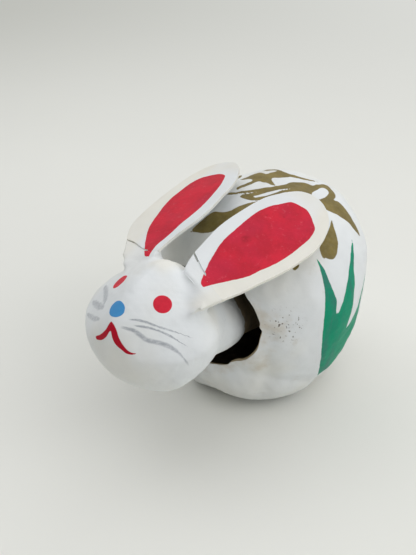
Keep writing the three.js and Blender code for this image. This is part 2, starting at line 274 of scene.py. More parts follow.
def body_point(polar, turn):
    """The place on the body's skin at an angle from straight ahead and a turn about that line."""
    directions = np.stack((np.sin(polar) * np.cos(turn), -np.cos(polar), np.sin(polar) * np.sin(turn)), 1)
    return BODY_CORE + directions * body_reach(directions)[:, None]


def curve_through(points, shares):
    """A smooth centripetal curve through points, at shares of its run from 0 to 1."""
    points = np.asarray(points, float)
    last = len(points) - 1
    padded = np.vstack((2 * points[0] - points[1], points, 2 * points[last] - points[last - 1]))
    run = np.clip(shares, 0, 1) * last
    index = np.minimum(run.astype(int), last - 1)
    w = (run - index)[:, None]
    p0, p1, p2, p3 = (padded[index + k] for k in range(4))

    def gap(a, b):
        return np.maximum(((a - b) ** 2).sum(1) ** 0.25, 1e-4)[:, None]

    d0, d1, d2 = gap(p0, p1), gap(p1, p2), gap(p2, p3)
    t1 = ((p1 - p0) / d0 - (p2 - p0) / (d0 + d1) + (p2 - p1) / d1) * d1
    t2 = ((p2 - p1) / d1 - (p3 - p1) / (d1 + d2) + (p3 - p2) / d2) * d1
    return p1 + t1 * w + (3 * (p2 - p1) - 2 * t1 - t2) * w**2 + (2 * (p1 - p2) + t1 + t2) * w**3


HEAD_STEPS = np.linspace(0, 1, 3001)
SECTIONS = np.array(HEAD_SECTIONS, float)


def head_curve(second, third):
    """Two of the head's measures at its sections, as a fine smooth curve along its length."""
    along = NOSE_Y + HEAD_LENGTH * SECTIONS[:, 0]
    return curve_through(np.stack((along, second, third), 1), HEAD_STEPS)


HEAD_SIDES = head_curve(HEAD_HALF_WIDTH * SECTIONS[:, 1], SECTIONS[:, 5])
HEAD_HEIGHTS = head_curve(NOSE_Z + HEAD_HEIGHT * SECTIONS[:, 2], NOSE_Z + HEAD_HEIGHT * SECTIONS[:, 3])
HEAD_LEVELS = head_curve(NOSE_Z + HEAD_HEIGHT * SECTIONS[:, 4], np.zeros(len(SECTIONS)))


def head_point(share, turn):
    """The place on the head's skin at a share of its run from the nose and a turn about its length."""
    y = np.interp(share, HEAD_STEPS, HEAD_SIDES[:, 0])
    half_width = np.interp(share, HEAD_STEPS, HEAD_SIDES[:, 1])
    peak = np.interp(share, HEAD_STEPS, HEAD_SIDES[:, 2])
    top = np.interp(y, HEAD_HEIGHTS[:, 0], HEAD_HEIGHTS[:, 1])
    bottom = np.interp(y, HEAD_HEIGHTS[:, 0], HEAD_HEIGHTS[:, 2])
    level = np.interp(y, HEAD_LEVELS[:, 0], HEAD_LEVELS[:, 1])
    across = np.cos(turn)
    slope = (np.hypot(across, RIDGE_ROUND) - RIDGE_ROUND) / (math.hypot(1, RIDGE_ROUND) - RIDGE_ROUND)
    roof = (1 - peak) * np.sqrt(np.maximum(0, 1 - across**2)) + peak * (1 - slope)
    rise = np.where(np.sin(turn) > 0, (top - level) * roof, (level - bottom) * np.sin(turn))
    return np.stack((half_width * across, y, level + rise), 1)


def ear_axes(side):
    """The directions across, along and out of an ear, for side 1 on the left and -1 on the right."""
    along = np.array((
        math.sin(EAR_SPLAY) * math.cos(EAR_RISE),
        math.cos(EAR_SPLAY) * math.cos(EAR_RISE),
        math.sin(EAR_RISE),
    ))
    level = np.array((math.cos(EAR_SPLAY), -math.sin(EAR_SPLAY), 0))
    across = level * math.cos(EAR_ROLL) + np.cross(along, level) * math.sin(EAR_ROLL)
    face = np.cross(across, along)
    mirror = np.array((side, 1, 1))
    return across * mirror, along * mirror, face * mirror


def ear_place(side, across, along, face):
    """The place of points given in an ear's own plane."""
    a, b, c = ear_axes(side)
    base = EAR_BASE * np.array((side, 1, 1))
    return base + np.outer(across, a) + np.outer(along, b) + np.outer(face, c)


def in_ear_plane(side, points):
    """Points in an ear's own plane: across, along and out of its face."""
    offset = points - EAR_BASE * np.array((side, 1, 1))
    return np.stack([offset @ axis for axis in ear_axes(side)], 1)


def outline(points, per_point=8):
    """A closed smooth line through points. A point with a third number is a corner."""
    flat = [(p[0], p[1]) for p in points]
    corner = [len(p) > 2 for p in points]
    line = []
    count = len(flat)
    for i in range(count):
        p0, p1, p2, p3 = (np.array(flat[(i + k) % count], float) for k in (-1, 0, 1, 2))
        first = np.zeros(2) if corner[i] else (p2 - p0) / 2
        second = np.zeros(2) if corner[(i + 1) % count] else (p3 - p1) / 2
        for step in range(per_point):
            w = step / per_point
            line.append(p1 * (2 * w**3 - 3 * w**2 + 1) + first * (w**3 - 2 * w**2 + w)
                        + p2 * (3 * w**2 - 2 * w**3) + second * (w**3 - w**2))
    return np.array(line)


def signed_distance(points, line):
    """Distance of flat points from a closed line, less than 0 inside it."""
    best = np.full(len(points), FAR)
    inside = np.zeros(len(points), bool)
    for a, b in zip(line, np.roll(line, -1, axis=0)):
        edge = b - a
        offset = points - a
        share = np.clip((offset @ edge) / max(edge @ edge, 1e-12), 0, 1)
        best = np.minimum(best, np.linalg.norm(offset - share[:, None] * edge, axis=1))
        crosses = (a[1] > points[:, 1]) != (b[1] > points[:, 1])
        with np.errstate(all="ignore"):
            at = a[0] + (points[:, 1] - a[1]) * edge[0] / edge[1]
        inside ^= crosses & (points[:, 0] < at)
    return np.where(inside, -best, best)


def stroke_chart(points, line, toward):
    """How far points lie across a drawn line, with its sign, and along it as a share of its run."""
    line = curve_through(line, np.linspace(0, 1, 12 * len(line)))
    lengths = np.linalg.norm(np.diff(line, axis=0), axis=1)
    start = np.concatenate(((0,), np.cumsum(lengths)))
    best = np.full(len(points), FAR)
    across = np.zeros(len(points))
    along = np.zeros(len(points))
    for i, length in enumerate(lengths):
        step = (line[i + 1] - line[i]) / length
        offset = points - line[i]
        low = -FAR if i == 0 else 0
        high = FAR if i == len(lengths) - 1 else length
        run = np.clip(offset @ step, low, high)
        rest = offset - run[:, None] * step
        away = np.linalg.norm(rest, axis=1)
        sign = np.where(rest @ np.cross(step, toward) < 0, -1, 1)
        nearer = away < best
        best = np.where(nearer, away, best)
        across = np.where(nearer, away * sign, across)
        along = np.where(nearer, (start[i] + run) / start[-1], along)
    return across, along


# Meshes


def coordinates(piece):
    """The places of a piece's points, in millimetres."""
    flat = np.empty(len(piece.data.vertices) * 3)
    piece.data.vertices.foreach_get("co", flat)
    return flat.reshape(-1, 3) / MM


def normals(piece):
    """The directions that a piece's points face."""
    flat = np.empty(len(piece.data.vertices) * 3)
    piece.data.vertex_normals.foreach_get("vector", flat)
    return flat.reshape(-1, 3)


def shape(piece, points):
    """Puts a piece's points at places given in millimetres."""
    piece.data.vertices.foreach_set("co", (np.asarray(points) * MM).ravel())
    piece.data.update()


def select(piece):
    """Makes a piece the only one that is selected."""
    bpy.ops.object.select_all(action="DESELECT")
    piece.select_set(True)
    bpy.context.view_layer.objects.active = piece


def begin(name):
    """Names the primitive that was just added, and gives it back."""
    piece = bpy.context.object
    piece.name = name
    piece.data.name = name
    return piece


def add(name, primitive, **settings):
    """Adds a primitive with nothing else selected, and names it."""
    bpy.ops.object.select_all(action="DESELECT")
    primitive(**settings)
    return begin(name)


def finish(piece, kind, **settings):
    """Adds a modifier to a piece and applies it."""
    select(piece)
    modifier = piece.modifiers.new(kind.lower(), kind)
    for key, value in settings.items():
        setattr(modifier, key, value)
    bpy.ops.object.modifier_apply(modifier=modifier.name)
    return piece


def mark(piece, name, values):
    """Stores a number or a vector at each point of a piece."""
    values = np.asarray(values, float)
    kind = "FLOAT" if values.ndim == 1 else "FLOAT_VECTOR"
    field = piece.data.attributes.new(name, kind, "POINT")
    field.data.foreach_set("value" if values.ndim == 1 else "vector", values.ravel())


@contextmanager
def edit_mode(piece):
    """Edit mode on a piece, with all of it selected."""
    select(piece)
    bpy.ops.object.mode_set(mode="EDIT")
    bpy.ops.mesh.select_all(action="SELECT")
    yield
    bpy.ops.object.mode_set(mode="OBJECT")


def delete_faces(piece, wanted):
    """Deletes the faces that a test on their centre picks out."""
    with edit_mode(piece):
        bpy.ops.mesh.select_all(action="DESELECT")
    for face in piece.data.polygons:
        face.select = wanted(face.center)
    bpy.ops.object.mode_set(mode="EDIT")
    bpy.ops.mesh.select_mode(type="FACE")
    bpy.ops.mesh.delete(type="FACE")
    bpy.ops.object.mode_set(mode="OBJECT")


def outward(piece):
    """Merges a closed piece's doubles and turns its faces outwards."""
    with edit_mode(piece):
        bpy.ops.mesh.remove_doubles(threshold=1e-7)
        bpy.ops.mesh.normals_make_consistent(inside=False)


def smooth(piece, degrees):
    """Shades a piece smooth, apart from edges that are sharper than an angle."""
    select(piece)
    bpy.ops.object.shade_smooth_by_angle(angle=math.radians(degrees))


def join(target, *others):
    """Joins other pieces to a piece."""
    select(target)
    for other in others:
        other.select_set(True)
    bpy.ops.object.join()
    return target


def carve(piece, tool):
    """Cuts a piece with another, which is used up."""
    finish(piece, "BOOLEAN", object=tool, operation="DIFFERENCE", solver="EXACT")
    bpy.data.objects.remove(tool)


def sphere_angles(piece):
    """For a round primitive's points: the angle from its top as a share of half a turn, and the turn."""
    unit = coordinates(piece) * MM
    return np.arccos(np.clip(unit[:, 2], -1, 1)) / math.pi, np.arctan2(unit[:, 1], unit[:, 0])


def head_form(name, around, count):
    """The head and neck as a closed skin of rings, with a pole at the nose and one at the back."""
    piece = add(name, bpy.ops.mesh.primitive_uv_sphere_add, segments=around, ring_count=count, radius=1)
    polar, turn = sphere_angles(piece)
    shape(piece, head_point(polar**RINGS_TOWARDS_NOSE, turn))
    outward(piece)
    return piece


def prism(name, line, low, high, side):
    """A slab in an ear's plane, with an outline of (across, along) and from low to high out of it."""
    line = np.asarray(line, float)
    count = len(line)
    piece = add(name, bpy.ops.mesh.primitive_cylinder_add, vertices=count, radius=1, depth=2,
                end_fill_type="NGON")
    unit = coordinates(piece) * MM
    turn = (math.pi / 2 - np.arctan2(unit[:, 1], unit[:, 0])) % (2 * math.pi)
    order = np.round(turn * count / (2 * math.pi)).astype(int) % count
    face = np.where(unit[:, 2] > 0, high, low)
    shape(piece, ear_place(side, line[order, 0], line[order, 1], face))
    outward(piece)
    return piece


# Materials

# Colours that only vary a paint: the deep green and red of thick strokes, and red that is rubbed pale
DEEP_GREEN = (0.03, 0.19, 0.14)
DEEP_RED = (0.47, 0.018, 0.052)
RUBBED_RED = (0.72, 0.2, 0.24)
SPECULAR_LEVEL = 0.14
# Depth of the relief in the paint, in millimetres
BODY_BUMP = 0.19
EAR_BUMP = 0.1


class Field:
    """What one socket of a node gives. An expression on a number adds its Math nodes."""

    def __init__(self, nodes, socket):
        self.nodes = nodes
        self.socket = socket

    def _math(self, operation, first, second=None):
        return self.nodes.node("ShaderNodeMath", {"operation": operation}, {0: first, 1: second})

    def __add__(self, other):
        return self._math("ADD", self, other)

    __radd__ = __add__

    def __sub__(self, other):
        return self._math("SUBTRACT", self, other)

    def __rsub__(self, other):
        return self._math("SUBTRACT", other, self)

    def __mul__(self, other):
        return self._math("MULTIPLY", self, other)

    __rmul__ = __mul__

    def __truediv__(self, other):
        return self._math("DIVIDE", self, other)

    def __abs__(self):
        return self._math("ABSOLUTE", self)

    def higher(self, other):
        return self._math("MAXIMUM", self, other)

    def step(self, low, high):
        """0 below low and 1 above high, with a soft step between. low may be the larger."""
        return self.nodes.node(
            "ShaderNodeMapRange", {"interpolation_type": "SMOOTHSTEP"},
            {"Value": self, "From Min": low, "From Max": high, "To Min": 0, "To Max": 1},
        )


class Nodes:
    """A node tree, built up node by node."""

    def __init__(self, tree):
        self.tree = tree

    def node(self, kind, settings, values, output=0):
        """Adds a node, sets it up, gives its sockets values or links, and returns one output."""
        node = self.tree.nodes.new(kind)
        for key, value in settings.items():
            setattr(node, key, value)
        for socket, value in values.items():
            if isinstance(value, Field):
                self.tree.links.new(value.socket, node.inputs[socket])
            elif value is not None:
                node.inputs[socket].default_value = value
        return Field(self, node.outputs[output])

    def seen(self):
        """1 for what the camera or a reflection sees, 0 for the light that falls on things."""
        camera = self.node("ShaderNodeLightPath", {}, {}, "Is Camera Ray")
        return camera.higher(self.node("ShaderNodeLightPath", {}, {}, "Is Glossy Ray"))

    def blend(self, share, first, second):
        """One shader faded into another by a share."""
        return self.node("ShaderNodeMixShader", {}, {0: share, 1: first, 2: second})

    def end(self, shader, output):
        """Ends the tree in a shader."""
        self.tree.links.new(shader.socket, self.tree.nodes[output].inputs["Surface"])


class Finish(Nodes):
    """A material and its shader."""

    def __init__(self, name, roughness=0.5):
        self.material = bpy.data.materials.new(name)
        self.material.use_nodes = True
        super().__init__(self.material.node_tree)
        self.shader = self.tree.nodes["Principled BSDF"]
        self.shader.inputs["Roughness"].default_value = roughness
        self.shader.inputs["Specular IOR Level"].default_value = SPECULAR_LEVEL
        self.place = self.node("ShaderNodeTexCoord", {}, {}, "Object")

    def noise(self, size, detail=3, stretch=(1, 1, 1), offset=0.0, roughness=0.5):
        """A random number about 0.5, with grains of a size in millimetres."""
        scale = tuple(1 / (size * MM * s) for s in stretch)
        spread = self.node("ShaderNodeMapping", {}, {
            "Vector": self.place, "Scale": scale, "Location": (offset, offset, offset)})
        return self.node("ShaderNodeTexNoise", {}, {
            "Vector": spread, "Scale": 1, "Detail": detail, "Roughness": roughness})

    def field(self, name):
        """A number that the piece stores under a name."""
        return self.node("ShaderNodeAttribute", {"attribute_name": name}, {}, "Fac")

    def three(self, name):
        """The three numbers of a vector that the piece stores under a name."""
        vector = self.node("ShaderNodeAttribute", {"attribute_name": name}, {}, "Vector")
        return [self.node("ShaderNodeSeparateXYZ", {}, {0: vector}, part) for part in range(3)]

    def mix(self, share, first, second):
        """One colour laid over another by a share."""
        first = (*first, 1) if isinstance(first, tuple) else first
        second = (*second, 1) if isinstance(second, tuple) else second
        return self.node("ShaderNodeMix", {"data_type": "RGBA"}, {0: share, 6: first, 7: second}, 2)

    def shade(self, colour, light):
        """A colour made lighter or darker by a number about 1."""
        return self.node("ShaderNodeVectorMath", {"operation": "SCALE"}, {0: colour, "Scale": light})

    def feed(self, socket, value):
        """Links a varying number or colour to a socket of the shader."""
        self.tree.links.new(value.socket, self.shader.inputs[socket])

    def bump(self, height, depth):
        """Relief of a given depth in millimetres where height goes from 0 to 1."""
        self.feed("Normal", self.node("ShaderNodeBump", {}, {
            "Height": height, "Distance": depth * MM, "Strength": 1.0}))


def colours():
    """The colours of the add-on's settings, by name."""
    paint = bpy.context.scene.rabbit_paint
    return {name: tuple(getattr(paint, name)) for name in RabbitPaint.__annotations__}


def darker(colour, share):
    """A plain colour at a share of its light."""
    return tuple(channel * share for channel in colour)


def white_ground(finish, colour, dirt_share):
    """Chalk white that varies in warmth, with faint brush marks and specks of dirt."""
    warmth = finish.noise(38, 2).step(0.38, 0.7)
    ground = finish.mix(warmth * 0.55, colour["white"], colour["cream"])
    blotch = finish.noise(9, 4, offset=3.1)
    ground = finish.shade(ground, 0.935 + blotch * 0.13)
    grime = finish.noise(16, 5, offset=7.7, roughness=0.65).step(0.6, 0.8) * dirt_share
    return finish.mix(grime, ground, darker(colour["bare"], 0.9))


def specks(finish, size, low, high, offset):
    """Small sharp spots here and there."""
    return finish.noise(size, 2, offset=offset, roughness=0.4).step(low, high)


def brush(finish, name, soft, wobble, offset, swell=0.0):
    """1 inside a painted shape that the piece stores as a distance in millimetres."""
    edge = finish.noise(2.4, 3, offset=offset) - 0.5
    return (finish.field(name) + edge * wobble).step(swell + soft, swell - soft)


def uneven(finish, colour):
    """A plain colour that varies a little."""
    return finish.mix(finish.noise(6, 3, offset=8.0), colour, darker(colour, 0.85))


def rough_paper(finish, dark, light):
    """Pasted paper that no paint covers, patchy and fibrous."""
    patches = finish.noise(9, 4, offset=5.5).step(0.3, 0.7)
    return finish.shade(finish.mix(patches, dark, light), 0.75 + finish.noise(1.2, 6, offset=6.1) * 0.5)


def satin(finish, paint, shine, bare):
    """Chalk paint with a slight gloss, more of it on colour and little on bare paper."""
    rough = 0.5 + finish.noise(12, 3, offset=4.0) * 0.16 - paint * shine + bare * 0.35
    finish.feed("Roughness", rough)


def bare_paper_finish(colour):
    """Pasted paper with fibres along the strip."""
    finish = Finish("bare_paper", roughness=0.92)
    fibres = finish.noise(1.1, 6, stretch=(1, 3, 1), roughness=0.7)
    blotch = finish.noise(14, 3, offset=2.0)
    base = finish.mix(blotch.step(0.3, 0.7), darker(colour["bare"], 0.62), colour["bare"])
    base = finish.shade(base, 0.78 + fibres * 0.44)
    finish.feed("Base Color", base)
    finish.bump(fibres * 0.6 + finish.noise(5, 3, offset=5.0) * 0.4, 0.18)
    return finish.material


def body_finish(colour):
    """White with gold strokes, green grass, pits, dirt and painted shade; bare paper on the cut, near black
    inside.
    """
    finish = Finish("painted_body")
    grain = finish.noise(1.6, 4, offset=9.0)
    ground = white_ground(finish, colour, 0.4)
    # Dirt and specks, darkening round the opening and towards the floor, and painted shade in the valley, all
    # in bare-paper brown
    dirt_and_shade = finish.field("dirt") + (finish.noise(6, 4, offset=4.4) - 0.5) * 1.1
    ground = finish.mix(dirt_and_shade.step(0.35, 1.05) * 0.55, ground, darker(colour["bare"], 1.05))
    pits = specks(finish, 1.3, 0.64, 0.71, 1.3) * finish.field("speckled").step(0.25, 0.7)
    pits = pits.higher(finish.field("pits").step(1.0, 0.5))
    ground = finish.mix(pits * 0.85, ground, darker(colour["dirt"], 0.45))

    patches = finish.noise(8, 4, offset=6.0).step(0.35, 0.7)
    bristles = finish.noise(2.2, 4, stretch=(4, 1, 1), offset=2.2)
    gold = finish.mix(patches, darker(colour["gold"], 0.72), colour["gold"])
    gold_mask = brush(finish, "gold", 0.16, 0.5, 3.0, 0.12)
    gold = finish.shade(gold, 0.88 + bristles * 0.26)
    surface = finish.mix(gold_mask * (0.94 + grain * 0.08), ground, gold)

    streak = finish.noise(7, 5, stretch=(1, 1, 5), offset=1.0, roughness=0.65)
    green = finish.mix(streak.step(0.42, 0.68), colour["green"], DEEP_GREEN)
    green = finish.shade(green, 0.86 + grain * 0.3)
    green_mask = brush(finish, "green", 0.14, 0.4, 8.0, 0.14)
    surface = finish.mix(green_mask, surface, green)

    inside = finish.field("inside")
    # Painted shade: the inside wall is bare paper darkened to nearly black, for the shade in the hollow body
    hollow = rough_paper(finish, darker(colour["bare"], 0.1), darker(colour["bare"], 0.24))
    paper = finish.mix(inside.step(0.7, 0.98), uneven(finish, darker(colour["bare"], 0.95)), hollow)
    cut = (inside + (grain - 0.5) * 0.1).step(0.05, 0.2)
    finish.feed("Base Color", finish.mix(cut, surface, paper))
    paint = gold_mask.higher(green_mask)
    satin(finish, paint, 0.1, cut)
    relief = (finish.noise(3.2, 5, roughness=0.6) * 0.5 + grain * 0.28 + paint * 0.35 - pits * 0.6
              + streak * green_mask * 0.15)
    finish.bump(relief, BODY_BUMP)
    return finish.material


def whiskers(finish):
    """1 on the grey brush strokes, which thin out to their ends and are fainter on the far cheek."""
    bristles = finish.noise(1.0, 4, stretch=(2, 2, 1), offset=3.3, roughness=0.7).step(0.3, 0.62)
    masks = []
    for name, (width, strength) in WHISKER_BRUSHES.items():
        across, along, faint = finish.three(name)
        reach = along.step(-0.02, 0.06) * along.step(1.03, 0.9)
        taper = 0.55 + (along.step(0, 0.25) - along.step(0.55, 1)) * 0.45
        line = (abs(across) + (finish.noise(1.8, 3, offset=width) - 0.5) * 0.5) / (taper * width)
        mask = line.step(1.5, 0.5) * reach * (0.45 + bristles * 0.55) * strength
        masks.append(mask * (1 - faint * 0.3))
    top, middle, low = masks
    return top.higher(middle).higher(low)


def head_finish(colour):
    """White with the painted face, and bare paper on the neck's end and inside."""
    finish = Finish("painted_head")
    grain = finish.noise(1.4, 4, offset=9.0)
    ground = white_ground(finish, colour, 0.14)
    surface = finish.mix(finish.field("cream") * 0.8, ground, colour["cream"])
    surface = finish.mix(whiskers(finish), surface, colour["grey"])
    patches = finish.noise(3.5, 3).step(0.4, 0.7)
    red = finish.mix(patches, colour["red"], darker(colour["red"], 0.86))
    red_mask = brush(finish, "red", 0.1, 0.24, 1.0)
    surface = finish.mix(red_mask, surface, finish.shade(red, 0.93 + grain * 0.16))
    blue_mask = brush(finish, "blue", 0.1, 0.3, 4.0)
    surface = finish.mix(blue_mask, surface, finish.mix(grain, colour["blue"], darker(colour["blue"], 0.9)))
    mouth = finish.mix(grain, colour["dark_red"], darker(colour["dark_red"], 0.8))
    surface = finish.mix(brush(finish, "mouth", 0.1, 0.22, 6.0), surface, mouth)
    unpainted = finish.field("unpainted") + (finish.noise(5, 4, offset=2.5) - 0.5) * 1.1
    bare = unpainted.step(0.4, 0.62).higher(finish.field("inside").step(0.3, 0.6))
    paper = rough_paper(finish, darker(colour["bare"], 0.6), colour["bare"])
    finish.feed("Base Color", finish.mix(bare, surface, paper))
    paint = red_mask.higher(blue_mask)
    satin(finish, paint, 0.08, bare)
    finish.bump(finish.noise(3.2, 5, roughness=0.6) * 0.5 + grain * 0.25 + paint * 0.3, BODY_BUMP)
    return finish.material


def ear_finish(colour):
    """White that is yellowed and painted warm-lit towards the outer side and tip, with a red field, blotched,
    rubbed and bruised.
    """
    finish = Finish("painted_ear")
    grain = finish.noise(1.2, 4, offset=9.0)
    # Yellowed white and painted warm light, towards the outer side and the tip of the leaf
    yellowed = finish.field("yellowed") + (finish.noise(14, 3) - 0.5) * 0.5
    ground = finish.mix(yellowed.step(0.2, 0.9) * 0.9, colour["white"], colour["cream"])
    ground = finish.shade(ground, 0.96 + finish.noise(7, 4, offset=1.1) * 0.08)
    edge = finish.field("edge").step(0.4, 0.9)
    ground = finish.mix(edge * 0.7, ground, darker(colour["cream"], 0.95))
    blotch = finish.noise(11, 4, offset=2.0, roughness=0.6)
    red = finish.mix(blotch.step(0.35, 0.68), darker(colour["red"], 0.8), colour["red"])
    deep = finish.noise(24, 2, offset=6.3).step(0.42, 0.62)
    red = finish.mix(deep * 0.5, red, DEEP_RED)
    rub = finish.noise(2.2, 5, offset=5.0, roughness=0.7).step(0.55, 0.82)
    red = finish.mix(rub * 0.35, red, RUBBED_RED)
    red_mask = brush(finish, "red", 0.1, 0.4, 1.0)
    surface = finish.mix(red_mask, ground, finish.shade(red, 0.9 + grain * 0.2))
    bruise = specks(finish, 2.6, 0.7, 0.76, 4.2) * red_mask * 0.35
    bruise = bruise.higher(finish.field("bruise") * finish.noise(1.6, 3).step(0.3, 0.6) * 0.8)
    finish.feed("Base Color", finish.mix(bruise, surface, darker(colour["red"], 0.55)))
    finish.feed("Roughness", 0.5 + blotch * 0.12 - red_mask * 0.05)
    finish.bump(finish.noise(2.6, 5, roughness=0.6) * 0.5 + grain * 0.25 + red_mask * 0.25, EAR_BUMP)
    return finish.material


def bamboo_finish(colour):
    """Split bamboo with its grain along the peg."""
    finish = Finish("bamboo")
    grain = finish.noise(0.35, 5, stretch=(40, 1, 1), roughness=0.6)
    dark = finish.noise(0.8, 3, stretch=(30, 1, 1), offset=4.0).step(0.55, 0.75)
    base = finish.mix(dark * 0.6, colour["bamboo"], darker(colour["bamboo"], 0.5))
    finish.feed("Base Color", finish.shade(base, 0.8 + grain * 0.4))
    finish.bump(grain, 0.08)
    return finish.material


def thread_finish(colour):
    """Fibrous cotton."""
    finish = Finish("cotton_thread", roughness=0.9)
    fibre = finish.noise(0.12, 4, stretch=(1, 1, 6), roughness=0.7)
    finish.feed("Base Color", finish.shade(uneven(finish, colour["thread"]), 0.7 + fibre * 0.55))
    finish.bump(fibre, 0.05)
    return finish.material


def clay_finish(colour):
    """Dried clay with fine cracks."""
    finish = Finish("dried_clay", roughness=0.95)
    grit = finish.noise(0.9, 6, roughness=0.75)
    crack = finish.node("ShaderNodeTexVoronoi", {"feature": "DISTANCE_TO_EDGE"},
                        {"Vector": finish.place, "Scale": 1 / (7 * MM)}).step(0.0, 0.06)
    base = finish.mix(grit.step(0.35, 0.7), darker(colour["clay"], 0.6), colour["clay"])
    finish.feed("Base Color", finish.mix(crack, darker(colour["clay"], 0.35), base))
    finish.bump(grit * 0.6 + crack * 0.4, 0.3)
    return finish.material


def dress(piece, material, body, slot, *nodes):
    """Gives a piece its material and its body, and hides the CAD nodes that it stands for. Its slot argument
    is not used.
    """
    piece.data.materials.clear()
    piece.data.materials.append(material)
    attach(piece, body)
    if nodes:
        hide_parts(*nodes)


# Body


# How far the even skin is sunk before its waves are added, and how softly it meets the floor
SKIN_SUNK = 0.9
FLOOR_ROUND = 2.2
# Share of the round primitive that the opening takes away
CAP_SHARE = 0.12

# The opening's edge: a notch on the left, the top edge lowered round one turn, and the waves of the cut,
# each with its number round the edge, its start and its share of the wander
RIM_NOTCH_DEPTH = 0.9
RIM_NOTCH_TURN = math.radians(3)
RIM_NOTCH_SPREAD = 0.05
RIM_TOP_LOWERED = 8.0
RIM_LOWEST_TURN = math.radians(112)
RIM_LOWERED_SPREAD = 0.85
RIM_WAVES = ((2, 0.7, 0.6), (5, 2.1, 0.5), (9, 0.4, 0.4), (17, 1.3, 0.3))

# Where the chest meets the haunch there is a shallow valley, drawn on the left side
VALLEY = ((36.5, -16.5, 56), (36.2, -14.8, 47), (35.8, -13.0, 37), (34.0, -10.8, 27), (32.0, -10.5, 18),
          (31.0, -10.0, 8))
VALLEY_DEPTH = 1.5
VALLEY_WIDTH = 5.0

# The chest rests on the floor a little farther forward on the right: centre, height and size
FOOT = np.array((-13.0, -10.0, 4.0))
FOOT_HEIGHT = 3.2
FOOT_SIZE = 9.0

# Painted shade in the valley between the chest and the haunch, below the opening: centre and size
VALLEY_SHADE = ((28.0, -7.5, 22.0, 6.0), (27.0, -3.5, 11.0, 4.0), (33.5, -14.5, 34.0, 5.0))

# Fine specks round one place on the left of the opening: centre and size
SPECKLED = (43.0, -10.0, 63.0)
SPECKLED_SIZE = 10.0

# Pits there: centre and radius, and their depth as a share of the radius
PIT_DEPTH = 0.6
PITS = (
    (44.2, -9.1, 68.5, 1.2), (46.2, -6.5, 70.3, 0.9), (40.9, -12.8, 63.7, 0.8), (43.9, -8.8, 62.0, 1.0),
    (44.9, -7.0, 56.2, 0.8), (48.3, -4.0, 66.5, 0.8), (41.8, -12.0, 58.4, 0.7), (38.0, -14.6, 52.4, 0.7),
    (42.6, -11.0, 66.2, 0.8), (45.4, -7.6, 65.0, 0.7), (43.0, -10.6, 70.6, 0.7), (47.4, -4.6, 62.0, 0.7),
)

# Gold brush strokes on the back, seen from above: (x, y), with a third number at a corner
GOLD = (
    # Star on the far side of the top, and the thin arc over it
    ((-24.5, 33.5, 1), (-22.4, 37), (-21.2, 40.6), (-19.4, 43), (-16.6, 43.3), (-13.9, 42.4), (-12.7, 44.3),
     (-11.3, 46.7), (-10.2, 49.6), (-7.2, 49.8), (-3.9, 49.7), (-1.4, 50.7), (0.9, 52), (4.2, 52.7), (7, 54),
     (10.7, 55.4, 1), (7.5, 52.5), (4.3, 50.7), (1.9, 49.8), (-0.8, 48.2), (-2.5, 45.4), (-4.8, 42.6),
     (-7.2, 40.8), (-7.7, 39.2), (-5.7, 37.3), (-1.2, 34.4, 1), (-5.1, 34.1), (-8.6, 34.5), (-11.2, 34.2),
     (-12.4, 32.7), (-13.6, 29.5), (-14.6, 25.9), (-15.6, 22, 1), (-17.3, 22.9, 1), (-16.9, 26.2),
     (-16.2, 30.1), (-15.4, 33.4), (-17.2, 35), (-20.6, 34.5)),
    ((-19, 45.4, 1), (-17.8, 48.6), (-14.6, 50.1), (-10, 50.4), (-8.5, 48.6), (-12, 48.6), (-15.3, 47.8)),
    # Loop across the top, with the tail that runs down the left side
    ((-17.1, 15.7, 1), (-17.2, 17.6), (-14.2, 19.6), (-11.2, 22.2), (-8.5, 25.2), (-5.8, 28.1), (-2.2, 31.6),
     (0.4, 34.7), (2.4, 37.8), (2.8, 41.4), (4.3, 44.3), (6.6, 46.8), (9.1, 47.9), (11.8, 48.6), (12.2, 51.8),
     (12.6, 55.4), (14.2, 57.5), (17.6, 56.4), (21.1, 54.5), (23.2, 52.4), (24.6, 48.8), (25.3, 46.2, 1),
     (25.9, 50.1), (27.7, 51.2), (30.2, 51.4), (33.3, 51.5), (36.2, 51), (39.3, 50), (42.4, 48.9, 1),
     (40.4, 46.4), (37.4, 44.9), (34.8, 43.2), (32.4, 41.3), (30.2, 39.2), (27.7, 38.1), (24.7, 39.3),
     (21.8, 40.5, 1), (22.2, 44.6), (21.2, 48.7), (19.3, 52), (17, 52.9), (15.4, 51.6), (15.5, 47.8),
     (16.1, 42.4), (17.4, 39.8, 1), (14.8, 38.8), (12.2, 37), (9.7, 34), (7.4, 30.8), (5.4, 27), (3.4, 23.1),
     (0.9, 19.8), (-3.3, 17.3), (-7.1, 16.9), (-9.9, 17.6), (-9.4, 19.8), (-7.1, 21.9), (-5, 23.8),
     (-4.3, 25.3, 1), (-7.8, 22.9), (-11.6, 19.7), (-14.8, 17.2)),
    # Drop on the left shoulder
    ((34.1, 34.6, 1), (36.3, 33), (38.8, 31.2), (41, 29.7), (43, 28), (44.6, 25.8), (45.8, 23.4),
     (46.2, 20.9), (46, 18.9), (45.2, 17.6), (44.2, 16.9), (44.5, 15.3, 1), (43.2, 15.5), (41.6, 16.3),
     (40.2, 17.6), (39.4, 20.2), (38.6, 23.4), (37.4, 27.2), (35.8, 31.2)),
    # Band behind the ears
    ((-20, -8.2, 1), (-18.8, -5.8), (-17.5, -2.5), (-16.2, 0.9), (-14.4, 3.3), (-10.4, 4.7), (-6.5, 7),
     (-4.9, 10.3), (-3.4, 13.2), (-1.1, 16.3), (3, 19.8, 1), (2.6, 14.4), (1.6, 8.6), (-0.6, 3.2),
     (-4.4, -2.4), (-8.6, -6), (-13.6, -7.7)),
    # Dab under the left ear
    ((36.9, 1.2), (38, 0.8), (39, 2), (38.6, 4), (36.8, 4)),
)
